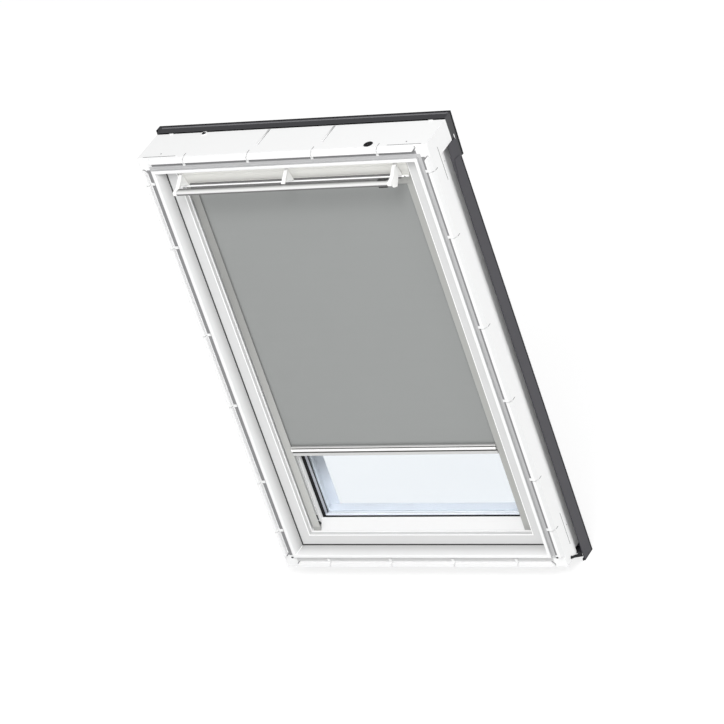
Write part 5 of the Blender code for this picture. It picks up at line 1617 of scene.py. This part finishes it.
@dataclass
class ControlBar(Assembly):
    """The ventilation flap, its arms, the bar that the hand pulls and the small catches."""

    body: ClassVar[Body] = Body.CONTROL_BAR
    axis_depth: float = 0.030
    axis_height: float = 0.499
    flap_half: float = 0.3075
    flap_rise: float = 0.0365
    edge_radius: float = 0.0032
    bar_depth: float = -0.028
    bar_height: float = 0.5135
    bar_half: float = 0.2845
    bar_section: Point = (0.017, 0.012)
    arm_spacing: float = 0.2885
    arm_edge: float = 0.009
    arm_top: float = 0.5385
    catch: Box = ((0.2580, -0.0335, 0.5040), (0.2810, -0.0240, 0.5078))
    screw_place: Place = (0.2970, 0.0250, 0.4986)

    def build(self) -> None:
        """Make the flap, the arms and the bar."""
        self.put(self._flap(), FLAP_IVORY_SHADED, 0.0003, "vent_flap")
        for index, label in ((-1, "left"), (0, "middle"), (1, "right")):
            arm = self._arm(f"arm_{label}", index * self.arm_spacing)
            self.put(arm, ARM_WHITE, 0, f"control_arm_{label}")
        reach, inner = self.flap_half - 0.001, self.arm_spacing - 0.0046
        # The rail takes the painted highlight white.
        rail = bar("flap_rail", rounded([(0.4968, 0.0250, 0.0008), (0.5004, 0.0250, 0.0008),
                                         (0.5004, 0.0300, 0.0004), (0.4968, 0.0300, 0.0004)]),
                   -reach, reach, Run.ALONG_X)
        self.put(rail, EDGE_HIGHLIGHT, 0.0002)
        # Dark strips above and below the rail: painted shade in the gaps there.
        shade_lines = [bar("seam", [(low, 0.0262), (high, 0.0262), (high, 0.0300), (low, 0.0300)],
                     -inner, inner, Run.ALONG_X)
                 for low, high in ((0.4918, 0.4966), (0.5006, 0.5040))]
        self.put(merged("flap_shade_lines", shade_lines), DEEP_SHADE)
        pull = self.put(self._bar(), BAR_WHITE, 0, "control_bar")
        # Painted shade: the bar's top darker towards the back, its underside near-black.
        paint(pull, BAR_SHADE, lambda c, n: n.z > 0.75)
        paint(pull, DEEP_SHADE, lambda c, n: n.z < 0.05 and abs(n.x) < 0.5)
        self.put(block("bar_catch", *self.catch), PLASTIC_BLACK, 0.0006)
        head = [(0, -0.0004), (0.0015, -0.0004), (0.0014, 0.0003), (0, 0.0004)]
        self.put(lathe("rail_screw", head, self.screw_place, INWARDS, 20), PLASTIC_BLACK)
        dress(PLASTIC_BLACK, "bar_clip")

    def _flap(self) -> Item:
        """Hollow-faced flap that rises from a rounded edge.

        Returns:
            The flap.
        """
        y, z, r = self.axis_depth, self.axis_height, self.edge_radius
        top, front, hollow = z + self.flap_rise, y - r, y + 0.0018
        section = rounded([(z - r, front, r * 0.9), (z + r * 0.4, front, r * 0.5),
                           (z + r * 1.6, hollow, 0.0026), (top - 0.0065, hollow, 0.0070),
                           (top, front, 0.0007), (top, front + 0.003, 0.0007),
                           (top - 0.0065, hollow + 0.003, 0.005),
                           (z + r * 1.6, hollow + 0.003, 0.0018), (z - r, y + r, r * 0.9)], 7)
        return bar("flap", section, -self.flap_half, self.flap_half, Run.ALONG_X)

    def _arm(self, name: str, middle: float) -> Item:
        """One arm: a fin with a flanged front edge that sweeps from the bar up to the flap.

        Args:
            name: Name of the piece.
            middle: Place of the arm along the bar.

        Returns:
            The arm; an end arm closes the bar's end, and the right one has a blade.
        """
        half_y = self.bar_section[0] / 2
        front = self.bar_depth + half_y + TOUCH
        back = self.axis_depth - self.edge_radius - TOUCH
        z, high = self.bar_height, self.arm_top
        lean = self.axis_depth - 0.0185
        rail = self.axis_height + 0.0022
        web = rounded([(front, z + 0.0052, 0), (lean, high, 0.03), (lean + 0.005, high, 0.001),
                       (back, rail + 0.004, 0.002), (back, rail, 0.0008),
                       (front + 0.014, z + 0.0035, 0.010), (front + 0.001, z - 0.0020, 0)], 8)
        edge = rounded([(front - 0.0002, z + 0.0058, 0), (lean, high + 0.0008, 0.03),
                        (lean + 0.005, high + 0.0008, 0.0006), (lean + 0.005, high - 0.0012, 0),
                        (lean + 0.0012, high - 0.0012, 0.03), (front + 0.0022, z + 0.0030, 0),
                        (front - 0.0002, z + 0.0030, 0)], 8)
        parts = [plate(name, outline, middle - half, middle + half)
                 for outline, half in ((web, 0.0016), (edge, self.arm_edge / 2))]
        if middle:
            near, far = self.bar_depth - half_y - 0.0004, front + 0.002
            cap = rounded([(near, z - 0.0052, 0.005), (near, z + 0.0050, 0.005),
                           (far, z + 0.0064, 0.001), (far, z - 0.0056, 0.001)], 6)
            side = math.copysign(1.0, middle)
            parts.append(plate(name, cap, *sorted((side * (self.bar_half + TOUCH),
                                                   middle + side * self.arm_edge / 2))))
        if middle > 0:
            blade = rounded([(-0.0100, 0.5280, 0.004), (0.0050, 0.5384, 0.002),
                             (0.0118, 0.5300, 0.004), (0.0104, 0.5189, 0.010),
                             (0.0016, 0.5043, 0.010), (-0.0106, 0.4928, 0.004),
                             (-0.0250, 0.4990, 0.004), (-0.0290, 0.5090, 0.004)], 5)
            parts.append(plate(name, blade, middle + 0.0012, middle + 0.0041))
        return soften(fused(name, parts), 0.0006)

    def _bar(self) -> Item:
        """The bar with its round front and domed ends.

        Returns:
            The bar.
        """
        y, z = self.bar_depth, self.bar_height
        ends = ((0.0, 0.86), (0.0006, 0.95), (0.0016, 1.0))
        places = [(short - self.bar_half, scale) for short, scale in ends]
        places += [(self.bar_half - short, scale) for short, scale in reversed(ends)]
        loops = []
        for x, scale in places:
            half_y, half_z = (side / 2 * scale for side in self.bar_section)
            outline = rounded([(z - half_z, y - half_y, half_z), (z + half_z, y - half_y, half_z),
                               (z + half_z, y + half_y, 0.003 * scale),
                               (z - half_z, y + half_y, 0.003 * scale)], 8)
            loops.append([Run.ALONG_X.point(a, b, x) for a, b in outline])
        return soften(loft("pull_bar", loops), 0.0002, 1, 60.0)


@dataclass
class RollerBlind(Assembly):
    """The blackout blind: side channels, cassette, roller, cloth and bottom bar."""

    body: ClassVar[Body] = Body.SASH
    channel_inner: float = 0.283
    channel_outer: float = 0.304
    channel_front: float = 0.045
    channel_back: float = 0.0577
    channel_low: float = -0.4959
    channel_top: float = 0.4672
    foot_top: float = -0.4962
    foot_low: float = -0.5072
    cassette_half: float = 0.2872
    cassette_front: float = 0.0438
    cassette_back: float = 0.0732
    cassette_low: float = 0.468
    cassette_top: float = 0.4957
    cassette_wall: float = 0.0012
    cloth_plane: float = 0.0479
    cloth_half: float = 0.2865
    cloth_low: float = -0.2575
    cloth_top: float = 0.47885
    cloth_sheet: float = 0.00024
    cloth_gap: float = 0.00016
    cloth_waves: Sequence[Point] = ((0.00022, 0.19), (0.00012, 0.43))
    cloth_columns: int = 48
    cloth_rows: int = 64
    flattened: float = 0.03
    roll_depth: float = 0.0597
    roll_height: float = 0.48185
    roll_radius: float = 0.0115
    roll_turns: int = 5
    roll_steps: int = 40
    roll_sheet: float = 0.00052
    tube_radius: float = 0.008
    bar_half: float = 0.2822
    bar_top: float = -0.2578
    bar_low: float = -0.284
    bar_front: float = 0.0429
    bar_back: float = 0.0539
    grip_height: float = -0.2663
    grip_reach: float = 0.0035

    def build(self) -> None:
        """Make the blind."""
        for side, label in SIDES:
            self._channel(side, label)
            dress(TAUPE_ALONG_Z, f"cassette_cap_{label}")
            dress(PLASTIC_BLACK, f"bar_glider_{label}", f"roller_plug_{label}")
        self._cassette()
        self._bottom_bar()
        self._cloth()
        self._wound_cloth()
        dress(TAUPE_ALONG_X, "roller_tube", width=0.0001)
        dress(STEEL, "roller_spring", width=0.0)

    def _channel(self, side: int, label: str) -> None:
        """Side channel open towards the cloth, and its foot, both cut to the sloping sill.

        Args:
            side: Side of the window: -1 for the left, 1 for the right.
            label: That side in the names of pieces.
        """
        outer, inner = self.channel_outer, self.channel_inner
        front, back = self.channel_front, self.channel_back
        slot, slot_back = front + 0.0013, front + 0.0075
        shell = rounded([(outer, front, 0.0009), (inner, front, 0.0009), (inner, slot, 0.0004),
                         (outer - 0.0013, slot, 0), (outer - 0.0013, back, 0.0003),
                         (outer, back, 0.0003)], 3)
        base = rounded([(inner, slot_back, 0.0004), (inner, back, 0.0003),
                        (outer - 0.0016, back, 0), (outer - 0.0016, slot_back, 0)], 3)
        # The left channel takes its own lighter copy that darkens upwards: painted light and shade.
        for name, section, look, nodes in (
                ("side_channel", shell, TAUPE_LEFT_SHADED if side < 0 else TAUPE_ALONG_Z,
                 [f"channel_{label}"]),
                ("channel_carrier", base, SASH_WHITE, [])):
            item = bar(f"{name}_{label}", [(side * a, b) for a, b in section], self.channel_low,
                       self.channel_top, Run.ALONG_Z)
            self.put(self._trimmed(item), look, 0.0002, *nodes)
        # Black clips inside the slot, dark also as painted shade in the slot's openings.
        clips = [block("clip", (side * (inner + 0.0003), slot_back - 0.0003, low),
                       (side * (inner + 0.0120), slot_back + 0.0004, high))
                 for low, high in ((-0.4800, -0.4655), (-0.4940, -0.4830))]
        wedge = [(slot_back, -0.4850), (0.0560, -0.4885), (0.0545, -0.4930), (slot_back, -0.4940)]
        clips.append(plate("clip", wedge, *sorted((side * (inner - 0.0004),
                                                   side * (inner + 0.0010)))))
        self.put(merged(f"channel_clip_{label}", clips), GAP_BLACK)
        foot = block(f"channel_shoe_{label}", (side * inner, front, self.foot_low),
                     (side * outer, back, self.foot_top))
        self.put(self._trimmed(foot), TAUPE_ALONG_Z, 0.0005, f"channel_foot_{label}")

    @staticmethod
    def _trimmed(item: Item) -> Item:
        """A piece cut back to the sloping face of the bottom rail.

        Args:
            item: The piece.

        Returns:
            The piece.
        """
        start, end = Vector((0, *SILL_FRONT)), Vector((0, *SILL_BACK))
        run = (end - start).normalized()
        normal = Vector((0, run.z, -run.y))
        slice_off(item, tuple(start - normal * TOUCH), tuple(normal))
        return item

    def _cassette(self) -> None:
        """Cassette with its open slot for the cloth."""
        wall, front, back = self.cassette_wall, self.cassette_front, self.cassette_back
        low, top = self.cassette_low, self.cassette_top
        slot_end = front + wall + 0.0055
        section = rounded([(low, front, 0.0006), (top, front, 0.003), (top, back, 0.001),
                           (low, back, 0.001), (low, slot_end, 0.0003),
                           (low + wall, slot_end, 0), (low + wall, back - wall, 0),
                           (top - wall, back - wall, 0), (top - wall, front + wall, 0.002),
                           (low, front + wall, 0.0003)], 4)
        case = bar("cassette", section, -self.cassette_half, self.cassette_half, Run.ALONG_X)
        self.put(case, TAUPE_ALONG_X, 0.0002, "blind_cassette")

    def _bottom_bar(self) -> None:
        """Bottom bar with its round grip between two grooves; painted highlight on the grip,
        painted shade in the grooves.
        """
        low, top, front, back = self.bar_low, self.bar_top, self.bar_front, self.bar_back
        grip, tip, groove = self.grip_height, front - self.grip_reach, front + 0.0016
        section = rounded([(low, back, 0.0014), (top, back, 0.0014), (top, front, 0.0012),
                           (grip + 0.0048, front, 0.0004), (grip + 0.0044, groove, 0.0003),
                           (grip + 0.0030, groove, 0.0003), (grip + 0.0030, tip, 0.0028),
                           (grip - 0.0034, tip, 0.0030), (grip - 0.0038, groove, 0.0003),
                           (grip - 0.0084, groove, 0.0003), (grip - 0.0088, front, 0.0006),
                           (low, front, 0.0018)], 5)
        item = bar("bottom_bar", section, -self.bar_half, self.bar_half, Run.ALONG_X)
        settle(soften(item, 0.0002), BAR_SILVER, Body.BLIND_BAR, ["handle_bar"])
        # Painted highlight on the grip's front and painted shade in the two grooves.
        paint(item, GRIP_HIGHLIGHT, lambda c, n: abs(c.z - grip) < 0.0040 and c.y < front - 0.0006
              and abs(n.x) < 0.5)
        paint(item, GRIP_GROOVE_SHADE, lambda c, n: -0.0090 < c.z - grip < 0.0047
              and abs(c.z - grip) > 0.0028 and front - 0.0004 < c.y < front + 0.0020
              and abs(n.x) < 0.5)

    def _layer(self, name: str, plane: float) -> Item:
        """One thin layer of the hanging cloth with the slight waves of a taut blind.

        Args:
            name: Name of the layer.
            plane: Its depth.

        Returns:
            The layer: two grids of faces joined round their rims.
        """
        columns, rows, width = self.cloth_columns, self.cloth_rows, self.cloth_columns + 1
        low, high, half = self.cloth_low, self.cloth_top, self.cloth_sheet / 2
        line = []
        for column in range(width):
            x = self.cloth_half * (2 * column / columns - 1)
            fade = math.cos(math.pi * x / (2 * self.cloth_half)) ** 0.5 \
                if abs(x) < self.cloth_half else 0.0
            line.append((x, fade * sum(height * math.sin(2 * math.pi * x / length)
                                       for height, length in self.cloth_waves)))
        shape = bmesh.new()
        sheets = [[shape.verts.new((x, plane + face + wave, low + (high - low) * row / rows))
                   for row in range(rows + 1) for x, wave in line] for face in (-half, half)]
        for sheet in sheets:
            for i in (row * width + column for row in range(rows) for column in range(columns)):
                shape.faces.new((sheet[i], sheet[i + 1], sheet[i + width + 1], sheet[i + width]))
        rim = [*range(width), *(row * width + columns for row in range(1, rows + 1)),
               *(rows * width + column for column in range(columns - 1, -1, -1)),
               *(row * width for row in range(rows - 1, 0, -1))]
        for first, second in zip(rim, rim[1:] + rim[:1]):
            shape.faces.new((sheets[0][first], sheets[0][second], sheets[1][second],
                             sheets[1][first]))
        return smooth(finished(name, shape))

    def _cloth(self) -> None:
        """The hanging cloth in two layers: one on the sash, one on the blind's bottom bar."""
        front = self._layer("cloth_from_roller", self.cloth_plane - self.cloth_gap)
        settle(front, BLACKOUT, Body.SASH, ["blackout_cloth"])
        back = self._layer("cloth_from_bar", self.cloth_plane + self.cloth_gap)
        settle(back, BLACKOUT, Body.BLIND_BAR)
        for layer, end in ((front, self.cloth_top), (back, self.cloth_low)):
            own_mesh(layer)

    def _wound_cloth(self) -> None:
        """The cloth on the roller as a wound strip with its turns seen at the ends."""
        start, end = self.tube_radius + 0.0004, self.roll_radius - 0.00035
        half, count = self.roll_sheet / 2, self.roll_turns * self.roll_steps
        outer, inner = [], []
        for step in range(count + 1):
            share = step / count
            angle = -math.pi / 2 - 2 * math.pi * self.roll_turns * share
            radius = start + (end - start) * share
            for side, points in ((half, outer), (-half, inner)):
                points.append((self.roll_depth + (radius + side) * math.sin(angle),
                               self.roll_height + (radius + side) * math.cos(angle)))
        outline = outer + inner[::-1]
        size = len(outline)
        shape = bmesh.new()
        rims = [[shape.verts.new((x, y, z)) for y, z in outline]
                for x in (-self.cloth_half, self.cloth_half)]
        for i in range(size):
            j = (i + 1) % size
            shape.faces.new((rims[0][i], rims[0][j], rims[1][j], rims[1][i]))
        for rim in rims:
            for i in range(count):
                shape.faces.new((rim[i], rim[i + 1], rim[size - 2 - i], rim[size - 1 - i]))
        roll = finished("wound_cloth", shape)
        for face in roll.data.polygons:
            face.use_smooth = abs(face.normal.x) < 0.5
        settle(roll, BLACKOUT, Body.ROLLER, ["cloth_roll"])
        length = sum(math.dist(a, b) for a, b in zip(outer, outer[1:]))


@dataclass
class Studio:
    """Camera at the photograph's angle, soft light, a pale floor and a white surround."""

    focal: float = 229.38
    sensor: float = 36.0
    position: Place = (5.5114, -7.8832, 5.1214)
    right: Place = (0.8635, 0.4100, -0.2938)
    down: Place = (-0.0204, -0.5537, -0.8325)
    ahead: Place = (-0.5040, 0.7248, -0.4698)
    floor_level: float = -0.6250
    floor_half: float = 40.0
    floor_seen: float = 0.25
    floor_lighting: float = 0.92
    floor_lift: float = 0.79
    ambient: float = 0.05
    glow: float = 1.05
    bright_side: Place = (0.45, -0.68, 0.58)
    lights: Sequence[tuple[str, Place, float, float]] = (
        ("key", (1.8, -3.4, 4.2), 1.8, 170.0), ("side", (4.8, -0.6, 1.6), 2.6, 22.0))

    def build(self) -> None:
        """Set up the camera, the lights, the floor and the surround."""
        self._camera()
        self._world()
        self._floor()
        for light in self.lights:
            self._light(*light)
        bpy.context.scene.view_settings.view_transform = "Standard"

    def _camera(self) -> None:
        """Camera in the place that the photograph was taken from."""
        data = bpy.data.cameras.new("camera")
        data.lens = self.focal
        data.sensor_width = self.sensor
        data.clip_start, data.clip_end = 0.1, 200.0
        camera = linked("camera", data)
        axes = (Vector(self.right), -Vector(self.down), -Vector(self.ahead))
        turn = Matrix([axis.normalized() for axis in axes]).transposed()
        camera.matrix_world = Matrix.Translation(self.position) @ turn.to_4x4()
        bpy.context.scene.camera = camera

    def _world(self) -> None:
        """White surround that lights more from one side and is seen as plain white."""
        world = bpy.context.scene.world = bpy.data.worlds.new("surround")
        world.use_nodes = True
        graph = Graph(world.node_tree)
        aim = tuple(Vector(self.bright_side).normalized())
        toward = graph.add("ShaderNodeVectorMath", {"operation": "DOT_PRODUCT"},
                           in0=graph.place("Generated"), in1=aim).outputs["Value"]
        glow = graph.math("MULTIPLY_ADD", graph.math("MULTIPLY_ADD", toward, 0.5, 0.5), self.glow,
                          self.ambient)
        strength = graph.add("ShaderNodeMix", {"data_type": "FLOAT"}, Factor=graph.seen_directly(),
                             A=glow, B=1.0)
        graph.feed(world.node_tree.nodes["Background"], Strength=strength.outputs["Result"],
                   Color=(1.0, 1.0, 1.0, 1.0))

    def _floor(self) -> None:
        """Plain pale floor that keeps the shadow."""
        half = self.floor_half
        floor = block("floor", (-half, -half, self.floor_level - 0.02),
                      (half, half, self.floor_level))
        material, graph, shader = started("floor_pale")
        bright = graph.add("ShaderNodeBsdfPrincipled")
        for surface, tone in ((shader, self.floor_seen), (bright, self.floor_lighting)):
            graph.feed(surface, Base_Color=(tone, tone, tone, 1.0), Roughness=0.9,
                       Specular_IOR_Level=0.1)
        lift = graph.add("ShaderNodeEmission", Strength=self.floor_lift)
        lifted = graph.add("ShaderNodeAddShader", in0=shader.outputs["BSDF"],
                           in1=lift.outputs["Emission"])
        both = graph.add("ShaderNodeMixShader", in0=graph.seen_directly(),
                         in1=bright.outputs["BSDF"], in2=lifted.outputs["Shader"])
        graph.feed(material.node_tree.nodes["Material Output"], Surface=both.outputs["Shader"])
        floor.data.materials.append(material)

    @staticmethod
    def _light(name: str, place: Place, size: float, power: float) -> None:
        """A square soft light aimed at the window's middle.

        Args:
            name: Name of the light.
            place: Its place.
            size: Length of its sides.
            power: Its power in watts.
        """
        data = bpy.data.lights.new(name, "AREA")
        data.shape = "SQUARE"
        data.size = size
        data.energy = power
        item = linked(name, data)
        item.location = place
        item.rotation_mode = "QUATERNION"
        item.rotation_quaternion = (-Vector(place)).to_track_quat("-Z", "Y")


def clear_defaults() -> None:
    """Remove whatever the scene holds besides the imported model."""
    kept = set(frame["nodes"].values()) | set(frame["bodies"].values())
    for item in list(bpy.data.objects):
        if item not in kept:
            bpy.data.objects.remove(item, do_unlink=True)


def main() -> None:
    """Build every sub-assembly and the studio."""
    logging.basicConfig(level=logging.INFO, format="%(name)s: %(message)s")
    clear_defaults()
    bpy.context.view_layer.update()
    for assembly in (OuterFrame(), RoofCovers(), Sash(), ControlBar(), RollerBlind(), Studio()):
        LOG.info("building %s", type(assembly).__name__)
        assembly.build()


if __name__ == "__main__":
    main()
